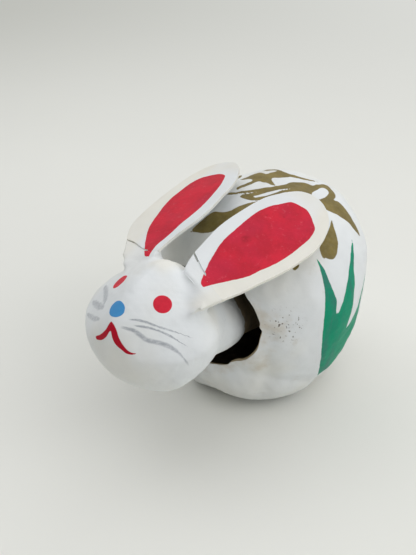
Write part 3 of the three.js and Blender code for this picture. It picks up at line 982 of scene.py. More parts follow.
# Slot of bare white in the loop
GOLD_SLOT = (
    (-4.6, 19.6, 1), (-2.7, 22.7), (-1.2, 25.6), (0.6, 28.2), (2.7, 31), (4.9, 33.8), (8.4, 36.8, 1),
    (6.6, 33.4), (4.9, 31.2), (3.8, 28.4), (2.5, 25.3), (0.1, 22.4), (-2.1, 20.3),
)
# Strokes on the right side, which the photograph doesn't show
GOLD_FAR_SIDE = (
    ((-30.4, 12.4, 1), (-33.2, 17.4), (-35.2, 22), (-39.8, 25.6), (-42.4, 23), (-41.6, 17.4), (-37.4, 13.4)),
    ((-27.4, 33.4, 1), (-31.6, 36.4), (-36.6, 40.8), (-41, 46.6, 1), (-35.6, 46.2), (-30.4, 42.4), (-27, 38)),
)

# Grass on the left flank, seen from the side: (y, z)
GRASS = (
    (12.1, 90.2, 1), (12.3, 86.2), (12.0, 83.0), (12.0, 79.8), (12.3, 76.8), (13.0, 73.8), (13.5, 71.6),
    (13.3, 68.4), (13.1, 65.2), (14.2, 60.0, 1), (14.9, 64.0), (16.8, 67.6), (19.0, 71.0), (21.6, 74.4),
    (24.4, 77.7), (27.3, 81.0), (30.6, 84.0), (34.0, 86.8), (39.1, 90.2, 1), (36.7, 87.2), (34.3, 84.2),
    (31.9, 80.8), (30.0, 77.1), (28.9, 73.6), (27.5, 69.8), (26.3, 65.2), (25.4, 60.3), (24.5, 55.9),
    (23.8, 50.1, 1), (26.9, 51.2), (30.8, 53.2), (35.1, 56.0), (39.4, 60.0), (43.2, 64.6), (46.6, 70.4, 1),
    (45.6, 64.0), (44.0, 57.8), (42.2, 52.4), (40.2, 46.8), (37.9, 42.0), (35.3, 37.8), (32.4, 34.0),
    (29.2, 30.8), (25.8, 28.2), (22.2, 26.2), (18.4, 24.6), (14.3, 22.5, 1), (12.2, 28.3), (9.9, 35.7),
    (8.3, 42.9), (7.2, 49.8), (6.5, 56.3), (6.2, 61.7), (6.2, 67.2), (6.8, 72.2), (7.8, 76.8), (9.0, 81.4),
    (10.4, 86.0),
)


def near_turn(turn, middle, spread):
    """1 at one turn, falling to 0 over about a given spread."""
    away = np.angle(np.exp(1j * (turn - middle)))
    return np.exp(-((away / spread) ** 2))


def rim_polar(turn, wander):
    """How far from straight ahead the opening's edge lies at each turn."""
    stray = wander * sum(share * np.sin(number * turn + start) for number, start, share in RIM_WAVES)
    notch = RIM_NOTCH_DEPTH * near_turn(turn, RIM_NOTCH_TURN, RIM_NOTCH_SPREAD)
    lowered = RIM_TOP_LOWERED * near_turn(turn, RIM_LOWEST_TURN, RIM_LOWERED_SPREAD)
    half_width = OPENING_HALF_WIDTH + stray - notch
    half_height = OPENING_HALF_HEIGHT + stray - lowered
    low = np.zeros(len(turn))
    high = np.full(len(turn), math.pi / 2)
    for _ in range(30):
        middle = (low + high) / 2
        point = body_point(middle, turn)
        away = np.hypot(point[:, 0] / half_width, (point[:, 2] - OPENING_Z) / half_height)
        low = np.where(away < 1, middle, low)
        high = np.where(away < 1, high, middle)
    return (low + high) / 2


def body_relief(points, settings):
    """How far pasting, the valley and the foot lift each point of the body's skin, in millimetres."""
    relief = pasted(points, settings, 1, 30, 7.5, 11)
    valley = curve_through(VALLEY, np.linspace(0, 1, 40))
    for side in (1, -1):
        away = np.full(len(points), FAR)
        for place in valley * np.array((side, 1, 1)):
            away = np.minimum(away, distance(points, place))
        relief -= VALLEY_DEPTH * np.exp(-((away / VALLEY_WIDTH) ** 2))
    return relief + FOOT_HEIGHT * hump(points, FOOT, FOOT_SIZE)


def on_floor(points):
    """Rounds the underside off where it meets the floor."""
    z = points[:, 2]
    points[:, 2] = 0.5 * (z + np.sqrt(z * z + FLOOR_ROUND**2))
    return points


class RABBIT_OT_body(bpy.types.Operator):
    """Models the painted shell of the body with its front opening"""

    bl_idname = "rabbit.body"
    bl_label = "Body"

    def execute(self, context):
        settings = context.scene.rabbit_shape
        piece = self.skin(settings)
        self.press(piece, settings)
        skin_count = len(piece.data.vertices)
        finish(piece, "SOLIDIFY", thickness=BODY_WALL * MM, offset=-1, use_even_offset=False, use_rim=True)
        points = coordinates(piece)
        mark(piece, "inside", np.arange(len(points)) >= skin_count)
        self.paint(piece, points)
        smooth(piece, 55)
        dress(piece, body_finish(colours()), "body", "painted_paper", "body_left_half", "body_right_half")
        return {"FINISHED"}

    def skin(self, settings):
        """The even skin from the opening's edge to the back."""
        piece = add("painted_body", bpy.ops.mesh.primitive_uv_sphere_add, segments=settings.around,
                    ring_count=settings.along, radius=1)
        limit = math.cos(math.pi * CAP_SHARE)
        delete_faces(piece, lambda centre: centre.z > limit)
        polar, turn = sphere_angles(piece)
        start = rim_polar(turn, settings.rim_wander / MM)
        share = np.clip((polar - polar.min()) / (1 - polar.min()), 0, 1)
        shape(piece, body_point(start + (math.pi - start) * share, turn))
        outward(piece)
        return piece

    def press(self, piece, settings):
        """Gives the skin its waves and pits, and sets it on the floor, inside the construction's box."""
        points = coordinates(piece)
        points += normals(piece) * (body_relief(points, settings) - SKIN_SUNK)[:, None]
        for *place, radius in PITS:
            points -= normals(piece) * (PIT_DEPTH * radius * hump(points, place, radius))[:, None]
        low, high = (np.array(corner) / MM for corner in CAD_BOX)
        shape(piece, np.clip(on_floor(points), low, high))

    def paint(self, piece, points):
        """Stores how far each point is from the painted shapes and the pits, and where dirt and painted shade
        darken the white.
        """
        outside = normals(piece)
        from_above = points[:, :2]
        gold = np.full(len(points), UNPAINTED)
        for stroke in GOLD + GOLD_FAR_SIDE:
            gold = np.minimum(gold, signed_distance(from_above, outline(stroke)))
        gold = np.maximum(gold, -signed_distance(from_above, outline(GOLD_SLOT)))
        mark(piece, "gold", np.where(outside[:, 2] > 0.05, gold, UNPAINTED))
        grass = signed_distance(points[:, 1:], outline(GRASS))
        mark(piece, "green", np.where(np.abs(outside[:, 0]) > 0.25, grass, UNPAINTED))
        pits = np.min([distance(points, place) / radius for *place, radius in PITS], axis=0)
        mark(piece, "pits", np.minimum(pits, UNPAINTED))
        rim = np.hypot(points[:, 0] / OPENING_HALF_WIDTH, (points[:, 2] - OPENING_Z) / OPENING_HALF_HEIGHT)
        near_rim = smooth_step(1.45, 1.0, rim) * smooth_step(84, 72, points[:, 2]) * (points[:, 1] < 0)
        low = smooth_step(9, 0, points[:, 2])
        speckled = hump(points, SPECKLED, SPECKLED_SIZE)
        valley_shade = np.max([hump(points, place, size) for *place, size in VALLEY_SHADE], axis=0)
        # The field named dirt holds specks, darkening round the opening and towards the floor, and the
        # painted shade in the valley
        mark(piece, "dirt", np.clip(0.6 * near_rim + 0.4 * low + 0.45 * speckled + 0.5 * valley_shade, 0, 1))
        mark(piece, "speckled", speckled)


# Head

# The power that crowds the head's rings towards the nose, how far its skin settles in smoothing, and
# the hole over the neck's peg
RINGS_TOWARDS_NOSE = 1.05
SKIN_SETTLED = 0.35
THREAD_HOLE_RADIUS = 2.5

# Left eye and nose, painted on: centre and radius. The nose is stretched a little across.
EYE = np.array((13.7, -60.8, 86.9))
EYE_RADIUS = 4.2
NOSE_DISC = np.array((-0.8, -74.6, 84.5))
NOSE_RADIUS = 3.9
NOSE_ACROSS = np.array((0.97, 0.22, 0.05))
NOSE_STRETCH = 1.12
# Nothing of the mouth is painted behind this
FACE_BACK = -52.0

# Mouth seen from in front: (x, z)
MOUTH = (
    (0.0, 80.9, 1), (-0.7, 79.1), (-2.0, 76.1), (-4.9, 72.7), (-7.9, 70.4), (-8.3, 69.4), (-7.0, 68.9),
    (-3.8, 70.4), (-0.9, 73.3), (0.6, 76.2), (1.3, 77.6, 1), (2.1, 75.6), (3.4, 73.1), (5.4, 71.4),
    (8.7, 70.1), (10.9, 69.4), (13.4, 69.6), (14.9, 70.4, 1), (12.8, 70.4), (10.6, 71.1), (8.2, 72.9),
    (6.1, 75.1), (4.0, 77.9), (2.0, 80.0),
)

# Middle lines of the whiskers: three on the left cheek and three shorter ones on the right
WHISKERS = {
    "whisker_top": (
        ((6.7, -74.6, 82.5), (10.7, -71.8, 82.4), (18.4, -67.3, 80.3), (25.6, -62.4, 77.8),
         (30.3, -59.1, 75.9)),
        ((-12.6, -72.6, 80.2), (-13.8, -70.4, 81.3), (-17.0, -67.4, 81.2), (-21.5, -63.5, 80.4),
         (-27.4, -58.8, 78.4)),
    ),
    "whisker_middle": (
        ((9.6, -74.4, 80.6), (15.5, -70.5, 80.0), (19.6, -68.1, 78.9), (23.2, -66.1, 77.3),
         (30.7, -62.7, 73.2)),
        ((-10.8, -73.9, 80.4), (-14.8, -72.6, 78.6), (-18.9, -70.9, 76.9), (-23.2, -68.9, 75.0),
         (-28.6, -66.0, 72.6)),
    ),
    "whisker_low": (
        ((5.2, -78.1, 79.6), (10.7, -75.5, 78.8), (13.4, -74.7, 77.5), (16.7, -73.7, 76.0),
         (21.5, -70.6, 75.0), (25.7, -68.1, 73.4), (29.6, -66.6, 71.1), (32.0, -66.0, 68.8),
         (33.2, -64.8, 65.4)),
        ((-8.8, -78.1, 77.2), (-14.8, -76.6, 74.2), (-20.3, -74.4, 71.9), (-26.2, -71.7, 69.2)),
    ),
}

# Which way the cheeks look, left and right, and how faint the strokes on them are
CHEEKS = (((0.5, -0.55, 0.66), 0.0), ((-0.5, -0.55, 0.66), 1.0))

# Half width of each stroke in millimetres, and how strongly it covers
WHISKER_BRUSHES = {"whisker_top": (0.52, 0.95), "whisker_middle": (0.55, 1.0), "whisker_low": (0.95, 0.9)}

# The strokes on the right cheek are broad and soft: how much of their width counts
FAR_STROKE_THINNING = {"whisker_top": 0.3, "whisker_middle": 0.34, "whisker_low": 0.8}

# Ears in their own planes: (along, across). The edges run from the root to the tip, the crack is where
# the ear meets its root, and it gapes between the two places across the ear that "open" gives.
EAR_OUTLINES = {
    1: {
        "outer": ((-2, 18.6), (5.8, 19.2), (10.6, 20), (20.3, 21.7), (27.9, 22.5), (35.7, 23.4), (43.9, 23.8),
                  (50.1, 23.4), (57.8, 22.6), (63.7, 21), (69.7, 18.1), (75.2, 13.8), (79.2, 8.6), (81.4, 3),
                  (81.8, -0.6)),
        "inner": ((4.3, -3.2), (11.4, -7.6), (14.2, -8.6), (22.3, -11.3), (31, -13.9), (42.8, -15.8),
                  (55.4, -16.7), (62, -16.2), (67.6, -14.6), (72.6, -12.6), (76.8, -10.2), (79.6, -7),
                  (81.2, -3.8), (81.8, -0.6)),
        "red": ((6.6, 9.4, 1), (7, 6.9), (10, 4.3), (14.4, 1.3), (17.4, -0.7), (21.3, -2.8), (25.8, -5.2),
                (30.5, -6.9), (37.4, -8.5), (45.2, -10.3), (53.1, -11.4), (59.6, -10.6), (64.2, -8.8),
                (69.3, -6.8), (71.5, -2.8), (72.7, 1), (71.8, 5), (70.2, 8.3), (68.3, 12.1), (65.6, 13.9),
                (61.9, 15.5), (55.5, 16.7), (48.9, 17.7), (42.8, 18.1), (37.3, 17.7), (32.3, 16.9),
                (27, 16.5), (22.4, 15.2), (16, 12.6), (8.9, 10)),
        "crack": ((-10, 14.0), (-7.7, 13.5), (-3.6, 12.4), (1.1, 11.2), (3.7, 11.0), (6.2, 10.8), (24, 10.4)),
        "open": (-12, 3.9),
    },
    -1: {
        "outer": ((-2.4, 11), (2, 13.4), (5.8, 15.9), (10.1, 17.6), (16.9, 21.4), (26, 24.9), (32.7, 25.5),
                  (40.3, 24.4), (48.8, 22.9), (57.5, 20.6), (68.1, 17.2), (74.2, 14.6), (78.4, 11.2),
                  (81.4, 6.8), (82.9, 2), (83.1, -1)),
        "inner": ((4.1, -4.2), (13.1, -5.8), (19.2, -7.9), (23.8, -10.6), (28.3, -13.2), (35.4, -15.4),
                  (43.5, -16.6), (50.1, -17.2), (56.7, -17.9), (62.8, -17.4), (70, -15.2), (76.6, -12.1),
                  (80.2, -9), (82.2, -5.4), (83.1, -1)),
        "red": ((2.6, -1.5, 1), (4.9, 1.3), (11.8, 5.8), (17.4, 9), (24.7, 12.4), (31.2, 13.7), (37.9, 14.3),
                (43.9, 15), (50.8, 15), (56.9, 13.6), (63.8, 11.5), (68.9, 8.1), (71.1, 3), (71.8, -3),
                (70, -7.2), (67.1, -8.8), (60.8, -10.6), (54.8, -11.1), (48, -10.8), (39.8, -9.7),
                (32.6, -8.1), (26.3, -6), (20.1, -3.9), (14, -1.8), (10.2, -1.3), (4.9, -1.8)),
        "crack": ((-8, 9.4), (-0.5, 8.6), (2.8, 7.9), (8.2, 10.3), (15.5, 14.4), (21.6, 16.5), (26, 17.2)),
        "open": (2.4, 26),
    },
}
# How far the tips of the ears bend down
TIP_DROOP = 0.6
# Dark spot on the red of the left ear: across and along
BRUISE = (-1.2, 38.0)
# Roots of the ears: how far along the ear they reach, and their top and underside out of the ear's plane
ROOT_LENGTH = 24
ROOT_TOP = 0.72
ROOT_UNDER = -1.5
# The ramp from a root down to the head: where along the ear it ends, how far it drops, how far in from
# the outer edge it starts, and the length in which its underside comes up
RAMP_END = -14.0
RAMP_DROP = 7.4
RAMP_INSET = 1.7
RAMP_RISE = 13


def crack_at(side, across):
    """How far along an ear the crack to its root lies, at places across it."""
    line = curve_through(EAR_OUTLINES[side]["crack"], np.linspace(0, 1, 80))
    return np.interp(across, line[:, 0], line[:, 1])


def red_distance(side, plane):
    """Distance from the red on an ear, on its upper face."""
    line = outline([(p[1], p[0], *p[2:]) for p in EAR_OUTLINES[side]["red"]])
    return np.where(plane[:, 2] > 0.2, signed_distance(plane[:, :2], line), UNPAINTED)


def edge_line(side, name, count):
    """Evenly spaced points of an ear's edge from the root to the tip, as (across, along)."""
    points = [(across, along) for along, across in EAR_OUTLINES[side][name]]
    fine = curve_through(points, np.linspace(0, 1, 400))
    run = run_along(fine)
    return resample(fine, run, np.linspace(0, run[-1], count))


def ear_root(side, inner, outer):
    """The flat part that an ear springs from."""
    corner = outer[0, 0]
    front = [(4, 4.4), (corner - 8, 4.6), (corner - 4, 2.4)]
    return prism("ear_root", [*inner[::-1], *front, *outer], ROOT_UNDER, ROOT_TOP, side)


def ear_ramp(side, inner, outer):
    """The paper that is faired down from an ear's root to the head."""
    corner = outer[0, 0]
    front = [(3, -4), (5, -14), (12, -14), (corner - 1.9, -6)]
    line = [*(inner[::-1] + (0.6, 0)), *front, *(outer - (RAMP_INSET, 0))]
    piece = prism("ear_ramp", line, -1, 1, side)
    across, along, face = in_ear_plane(side, coordinates(piece)).T
    start = np.interp(across, (-3, corner - 8, corner - 4, corner), (4.4, 4.6, 2.4, -1.2))
    fall = np.clip((start - along) / (start - RAMP_END), 0, 1)
    rise = np.clip((along - start) / RAMP_RISE, 0, 1)
    top = ROOT_TOP - (ROOT_TOP + RAMP_DROP) * fall**1.25
    under = -RAMP_DROP - 2 + (RAMP_DROP + 1) * rise
    shape(piece, ear_place(side, across, along, np.where(face > 0, top, under)))
    outward(piece)
    return piece


def head_skin(settings):
    """The head with its ear roots as one closed skin, before it is hollowed."""
    piece = head_form("painted_head", 160, 150)
    parts = []
    for side in (1, -1):
        edges = [edge_line(side, name, 60) for name in ("inner", "outer")]
        inner, outer = (edge[edge[:, 1] < ROOT_LENGTH] for edge in edges)
        parts += [ear_root(side, inner, outer), ear_ramp(side, inner, outer)]
    join(piece, *parts)
    return finish(piece, "REMESH", mode="VOXEL", voxel_size=settings.head_grain)


def soften_roots(piece):
    """Smooths the paper over the front of the ear roots, where it runs down on to the head."""
    points = coordinates(piece)
    weight = np.zeros(len(points))
    for side in (1, -1):
        across, along, face = in_ear_plane(side, points).T
        front = smooth_step(6.5, 3.5, along) * smooth_step(-26, -18, along)
        sideways = smooth_step(-11, -7, across) * smooth_step(16.6, 13.6, across)
        weight = np.maximum(weight, front * sideways * (face > -16) * (face < 4))
        under = smooth_step(11, 4, along) * smooth_step(-16, -10, along) * (face < -1.9)
        weight = np.maximum(weight, under * (across > -8) * (across < 22) * (face > -14))
    group = piece.vertex_groups.new(name="soft")
    for level in range(1, 11):
        chosen = np.nonzero(np.round(weight * 10).astype(int) == level)[0]
        group.add(chosen.tolist(), level / 10, "REPLACE")
    finish(piece, "SMOOTH", factor=0.5, iterations=70, vertex_group="soft")
    piece.vertex_groups.clear()


class RABBIT_OT_head(bpy.types.Operator):
    """Models the hollow head with its neck, its ear roots and its painted face"""

    bl_idname = "rabbit.head"
    bl_label = "Head"

    def execute(self, context):
        settings = context.scene.rabbit_shape
        piece = head_skin(settings)
        soften_roots(piece)
        finish(piece, "SMOOTH", factor=0.5, iterations=2)
        points = coordinates(piece)
        keep = np.ones(len(points))
        for side in (1, -1):
            _, along, face = in_ear_plane(side, points).T
            on_root = smooth_step(-3, 7, along) * smooth_step(5, 2.5, np.abs(face))
            keep = np.minimum(keep, 1 - 0.85 * on_root)
        relief = pasted(points, settings, 0.5, 28, 8, 21)
        shape(piece, points + normals(piece) * (relief * keep - 0.3 * smooth_step(0.1, 0.6, keep))[:, None])
        skin = piece.data.copy()
        self.hollow(piece)
        mark(piece, "inside", self.depth(skin, piece))
        bpy.data.meshes.remove(skin)
        self.paint(piece)
        smooth(piece, 50)
        dress(piece, head_finish(colours()), "head", "painted_paper", "head_shell")
        return {"FINISHED"}

    def hollow(self, piece):
        """Cuts the inside, the end of the neck, the thread's hole, and the room for the ears."""
        inside = head_form("inside", 72, 64)
        shape(inside, coordinates(inside) - normals(inside) * (HEAD_WALL + SKIN_SETTLED))
        carve(piece, inside)
        block = 0.2
        behind = add("behind", bpy.ops.mesh.primitive_cube_add, size=block,
                     location=(0, NECK_END * MM + block / 2, NOSE_Z * MM))
        bpy.ops.object.transform_apply()
        carve(piece, behind)
        depth = 0.05
        hole = add("thread_hole", bpy.ops.mesh.primitive_cylinder_add, vertices=32,
                   radius=THREAD_HOLE_RADIUS * MM, depth=depth,
                   location=(0, NECK_PEG.y * MM, NECK_PEG.z * MM + depth / 2))
        bpy.ops.object.transform_apply()
        carve(piece, hole)
        for side in (1, -1):
            across = np.linspace(-13, 26, 40)
            near = np.stack((across, crack_at(side, across)), 1)
            carve(piece, prism("room", [*near, (28, 40), (-16, 40)], -6, 4, side))

    def depth(self, skin, piece):
        """How deep under the outer skin each point lies, as a share of the wall."""
        builder = bmesh.new()
        builder.from_mesh(skin)
        tree = BVHTree.FromBMesh(builder)
        builder.free()
        depths = [tree.find_nearest(vertex.co)[3] for vertex in piece.data.vertices]
        return np.clip(np.array(depths) / (HEAD_WALL * MM), 0, 1)

    def paint(self, piece):
        """Stores how far each point is from the painted shapes, and where the white turns cream: on the top
        between the ears, and on the ear roots as yellowing and painted warm light.
        """
        points = coordinates(piece)
        outside = normals(piece)
        x, y, z = points.T
        red = distance(np.stack((np.abs(x), y, z), 1), EYE) - EYE_RADIUS
        ridge = smooth_step(9, 2, np.abs(x)) * smooth_step(-56, -48, y) * smooth_step(84, 90, z)
        cream = 0.8 * ridge
        for side in (1, -1):
            plane = in_ear_plane(side, points)
            across, along, face = plane.T
            on_root = (along > -4) & (x * side > 0)
            red = np.minimum(red, np.where(on_root, red_distance(side, plane), UNPAINTED))
            # The outer side of each root is cream: yellowed paint and painted warm light
            yellowed = 0.7 * smooth_step(8, 15, across) * smooth_step(-6, 0, along) * (face > -3)
            cream = np.maximum(cream, yellowed)
        mark(piece, "red", np.clip(red, -UNPAINTED, UNPAINTED))
        offset = points - NOSE_DISC
        offset -= ((offset @ NOSE_ACROSS) * (1 - 1 / NOSE_STRETCH))[:, None] * NOSE_ACROSS
        mark(piece, "blue", np.clip(np.linalg.norm(offset, axis=1) - NOSE_RADIUS, -UNPAINTED, UNPAINTED))
        mouth = np.clip(signed_distance(points[:, (0, 2)], outline(MOUTH)), -UNPAINTED, UNPAINTED)
        mark(piece, "mouth", np.where(y < FACE_BACK, mouth, UNPAINTED))
        for name, lines in WHISKERS.items():
            left, right = (
                np.stack((*stroke_chart(points, line, np.array(facing)), np.full(len(points), faint)), 1)
                for line, (facing, faint) in zip(lines, CHEEKS)
            )
            right[:, 0] *= FAR_STROKE_THINNING[name]
            chart = np.where((x > 0)[:, None], left, right)
            chart[outside[:, 1] > 0.5] = (UNPAINTED, 0.5, 0)
            mark(piece, name, chart)
        mark(piece, "unpainted", smooth_step(-16, -8, y))
        mark(piece, "cream", cream)


class RABBIT_OT_ears(bpy.types.Operator):
    """Models the two ears: leaves of paper board with a tongue in the head"""

    bl_idname = "rabbit.ears"
    bl_label = "Ears"

    def execute(self, context):
        settings = context.scene.rabbit_shape
        for side, name in ((1, "left_ear"), (-1, "right_ear")):
            piece = self.blade(settings, side, "painted_" + name)
            self.paint(piece, side)
            dress(piece, ear_finish(colours()), "head", "ear_board", name)
        return {"FINISHED"}

    def edge(self, side, name, up):
        """Places on one edge, from the crack at 0 to the tip at 1, where they stand closer together."""
        line = edge_line(side, name, 600)
        line = line[np.argmax(line[:, 1] > crack_at(side, line[:, 0])):]
        even = np.linspace(0, 1, 300)
        crowded = np.sin(even * math.pi / 2) * (len(line) - 1)
        return resample(resample(line, np.arange(len(line)), crowded), even, up)

    def blade(self, settings, side, name):
        """A leaf between its two edges, from the crack to the tip, with the tongue that holds it."""
        piece = add(name, bpy.ops.mesh.primitive_grid_add, x_subdivisions=56, y_subdivisions=150, size=2)
        over, up = ((coordinates(piece) * MM + 1) / 2)[:, :2].T
        inner, outer = (self.edge(side, edge, up) for edge in ("inner", "outer"))
        across, along = (inner + (outer - inner) * over[:, None]).T
        low, high = EAR_OUTLINES[side]["open"]
        opened = smooth_step(low - 2.4, low, across) * smooth_step(high + 2.4, high, across)
        first_row = crack_at(side, across) + settings.crack_width / MM * opened - (1 - opened)
        along = np.where(up < 1e-6, first_row, np.maximum(along, first_row + up * 2))
        free = smooth_step(14, 30, along)
        cup = 0.35 * np.sin(along / 21 + 0.6 * side) + 0.014 * np.maximum(across - 12, 0) ** 1.5
        ripple = 0.3 * flat_waves(across, along, 26, 31 + side)
        bend = cup * free + 0.05 + ripple * free - TIP_DROOP * smooth_step(50, 80, along)
        shape(piece, ear_place(side, across, along, bend))
        self.face_up(piece, side)
        finish(piece, "SOLIDIFY", thickness=EAR_THICKNESS * MM, offset=0, use_rim=True)
        outward(piece)
        finish(piece, "BEVEL", width=0.3 * MM, segments=2, limit_method="ANGLE", angle_limit=math.radians(60))
        across = np.linspace(-4.5, 15.5, 24)
        seat = np.stack((across, crack_at(side, across) + 3), 1)
        join(piece, prism("tongue", [*seat, (13, 4.5), (-2, 4.5)], -0.5, 0.1, side))
        smooth(piece, 35)
        return piece

    def face_up(self, piece, side):
        """Turns the flat leaf so that its faces look out of the ear's face."""
        if normals(piece).mean(axis=0) @ ear_axes(side)[2] < 0:
            with edit_mode(piece):
                bpy.ops.mesh.flip_normals()

    def paint(self, piece, side):
        """Stores how far each point is from the red, where the leaf is worn, and where it is yellowed with
        painted warm light.
        """
        plane = in_ear_plane(side, coordinates(piece))[:, :2]
        across, along = plane.T
        up = normals(piece) @ ear_axes(side)[2]
        red = red_distance(side, np.column_stack((plane, up > 0.3)))
        mark(piece, "red", np.clip(red, -UNPAINTED, UNPAINTED))
        mark(piece, "edge", 1 - np.abs(up))
        mark(piece, "bruise", smooth_step(3.2, 0.8, distance(plane, BRUISE)) * (side > 0))
        # Cream towards the outer side and the tip: yellowed paint and painted warm light
        mark(piece, "yellowed", smooth_step(2, 17, across) * 0.8 + smooth_step(60, 80, along) * 0.6)


# What the body hides

# The paper strip: the angle from straight ahead at which it begins, how deep it lies under the skin, its
# lowest level, and how much narrower it is than the construction's strip
STRIP_START = 0.86
STRIP_DEPTH = 3.6
STRIP_LOWEST = 2.6
STRIP_MARGIN = 0.4
# The thread: points round a loop and down the middle, and the length of one turn of the twist
LOOP_STEPS = 90
MIDDLE_STEPS = 41
TWIST_LENGTH = 3.1


def cad_box(node):
    """The low and high corners of a CAD node, in millimetres."""
    low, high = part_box(node)
    return low / MM, high / MM


class RABBIT_OT_inner_pieces(bpy.types.Operator):
    """Models what the body hides: the paper strip, the pegs, the thread and the clay"""

    bl_idname = "rabbit.inner_pieces"
    bl_label = "Inner pieces"

    def execute(self, context):
        colour = colours()
        self.strip(colour)
        self.pegs(colour)
        self.thread(colour)
        self.clay(colour)
        return {"FINISHED"}

    def strip(self, colour):
        """The paper strip over the joint of the body's halves, with torn edges."""
        low, high = cad_box("body_seam_strip")
        piece = add("paper_strip", bpy.ops.mesh.primitive_grid_add, x_subdivisions=20, y_subdivisions=360,
                    size=2)
        over, run = (coordinates(piece) * MM)[:, :2].T
        tear = 0.5 * flat_waves(run * 90, over * 3, 5, 41)
        share = (run + 1) / 2
        polar = STRIP_START + (2 * math.pi - 2 * STRIP_START) * share
        points = body_point(polar, np.full(len(polar), math.pi / 2))
        points[:, 0] = over * (high.x - STRIP_MARGIN + np.minimum(tear, 0.3))
        inward = BODY_CORE - points
        inward[:, 0] = 0
        points += inward / np.linalg.norm(inward, axis=1)[:, None] * STRIP_DEPTH
        points[:, 2] = np.maximum(points[:, 2], STRIP_LOWEST)
        shape(piece, np.clip(points, np.array(low) + 0.1, np.array(high) - 0.1))
        finish(piece, "SOLIDIFY", thickness=0.5 * MM, offset=0, use_rim=True)
        outward(piece)
        smooth(piece, 50)
        dress(piece, bare_paper_finish(colour), "body", "bare_paper", "body_seam_strip")

    def pegs(self, colour):
        """Slivers of split bamboo, a little flat and frayed at their ends."""
        for node, name, body in (
            ("body_peg", "bamboo_peg_in_body", "body"),
            ("neck_peg", "bamboo_peg_in_neck", "head"),
        ):
            low, high = cad_box(node)
            radius = (high.z - low.z) / 2
            half = (high.x - low.x) / 2
            piece = add(name, bpy.ops.mesh.primitive_cylinder_add, vertices=28, radius=radius * MM,
                        depth=2 * half * MM, end_fill_type="TRIFAN")
            with edit_mode(piece):
                bpy.ops.mesh.subdivide(number_cuts=7)
            x, y, along = coordinates(piece).T
            angle = np.arctan2(y, x)
            away = np.hypot(x, y)
            trim = 1 - 0.1 * np.maximum(0, np.cos(3 * angle + 0.4))
            trim -= 0.18 * smooth_step(half - 1.6, half, np.abs(along))
            trim -= 0.03 * (1 + flat_waves(angle * 3, along * 0.2, 1.2, 51))
            across = np.stack((np.cos(angle) * away * 4, np.sin(angle) * away * 4, away), 1)
            fray = 0.25 * waves(across, 2, 52) * smooth_step(half - 0.5, half, np.abs(along))
            along = np.clip(along + fray, -half, half)
            points = np.stack((along, away * trim * np.cos(angle), away * trim * np.sin(angle)), 1)
            shape(piece, points + np.array((low + high) / 2))
            outward(piece)
            smooth(piece, 45)
            dress(piece, bamboo_finish(colour), body, "bamboo", node)

    def thread(self, colour):
        """Three twisted strands that loop round the two pegs."""
        low, high = cad_box("hanging_thread")
        radius = (high.x - low.x) / 2
        path = self.path((high.y - low.y) / 2 - radius)
        strands = [self.strand(path, radius, number) for number in range(3)]
        piece = join(*strands)
        piece.name = "twisted_thread"
        piece.data.name = "twisted_thread"
        outward(piece)
        smooth(piece, 60)
        dress(piece, thread_finish(colour), "thread", "thread", "hanging_thread")

    def path(self, loop):
        """The thread's middle line: round the upper peg, down, and round the lower peg."""
        top = np.array((0, BODY_PEG.y, BODY_PEG.z))
        bottom = np.array((0, NECK_PEG.y, NECK_PEG.z))
        start = top - (0, 0, loop)
        end = bottom + (0, 0, loop)
        nearly_round = 2 * math.pi - 0.1
        path = []
        for i in range(LOOP_STEPS):
            angle = -math.pi / 2 - 0.25 + nearly_round * (1 - i / LOOP_STEPS)
            path.append(top + (0, -loop * math.cos(angle) * 0.995, loop * math.sin(angle)))
        for i in range(1, MIDDLE_STEPS):
            path.append(start + (end - start) * (i / MIDDLE_STEPS))
        for i in range(LOOP_STEPS):
            angle = math.pi / 2 + nearly_round * i / LOOP_STEPS
            path.append(bottom + (0, loop * math.cos(angle), loop * math.sin(angle)))
        return np.array(path)

    def strand(self, path, radius, number):
        """One strand wound round the path, as a mesh."""
        step = np.gradient(path, axis=0)
        step /= np.linalg.norm(step, axis=1)[:, None]
        first = np.tile(np.array((1.0, 0, 0)), (len(path), 1))
        second = np.cross(step, first)
        angle = 2 * math.pi * (run_along(path) / TWIST_LENGTH + number / 3)
        points = path + radius * 0.45 * (first * np.cos(angle)[:, None] + second * np.sin(angle)[:, None])
        curve = add("strand", bpy.ops.curve.primitive_nurbs_path_add)
        curve.data.splines.clear()
        spline = curve.data.splines.new("POLY")
        spline.points.add(len(points) - 1)
        spline.points.foreach_set("co", np.column_stack((points * MM, np.ones(len(points)))).ravel())
        curve.data.bevel_depth = radius * 0.5 * MM
        curve.data.bevel_resolution = 2
        curve.data.use_fill_caps = True
        select(curve)
        bpy.ops.object.convert(target="MESH")
        return bpy.context.object

    def clay(self, colour):
        """The clay that is pressed into the end of the neck, from a copy of its solid."""
        select(frame["nodes"]["neck_weight"])
        bpy.ops.object.duplicate()
        piece = begin("clay_in_neck")
        piece.parent = None
        for key in list(piece.keys()):
            del piece[key]
        outward(piece)
        finish(piece, "REMESH", mode="VOXEL", voxel_size=0.7 * MM)
        finish(piece, "SMOOTH", factor=0.5, iterations=6)
        points = coordinates(piece)
        push = 0.22 * waves(points, 6, 61) + 0.1 * waves(points, 2.4, 62) - 0.45
        shape(piece, points + normals(piece) * push[:, None])
        smooth(piece, 60)
        dress(piece, clay_finish(colour), "head", "clay", "neck_weight")


# Stage

CAMERA = Vector((249.811, -287.231, 300.538))
CAMERA_AZIMUTH = math.radians(42.72)
CAMERA_ELEVATION = math.radians(31.48)
FOCAL_PIXELS = 892.32
PHOTO_HEIGHT = 555
SENSOR = 36.0

# Distances in metres over which the floor fades into the pale ground, over which that ground goes from
# dim at the left to lit at the right, and over which it is lit all round
FLOOR_FADE = (0.22, 0.85)
DIM_TO_LIT = (-0.45, 0.55)
ALL_LIT = (0.9, 2.6)
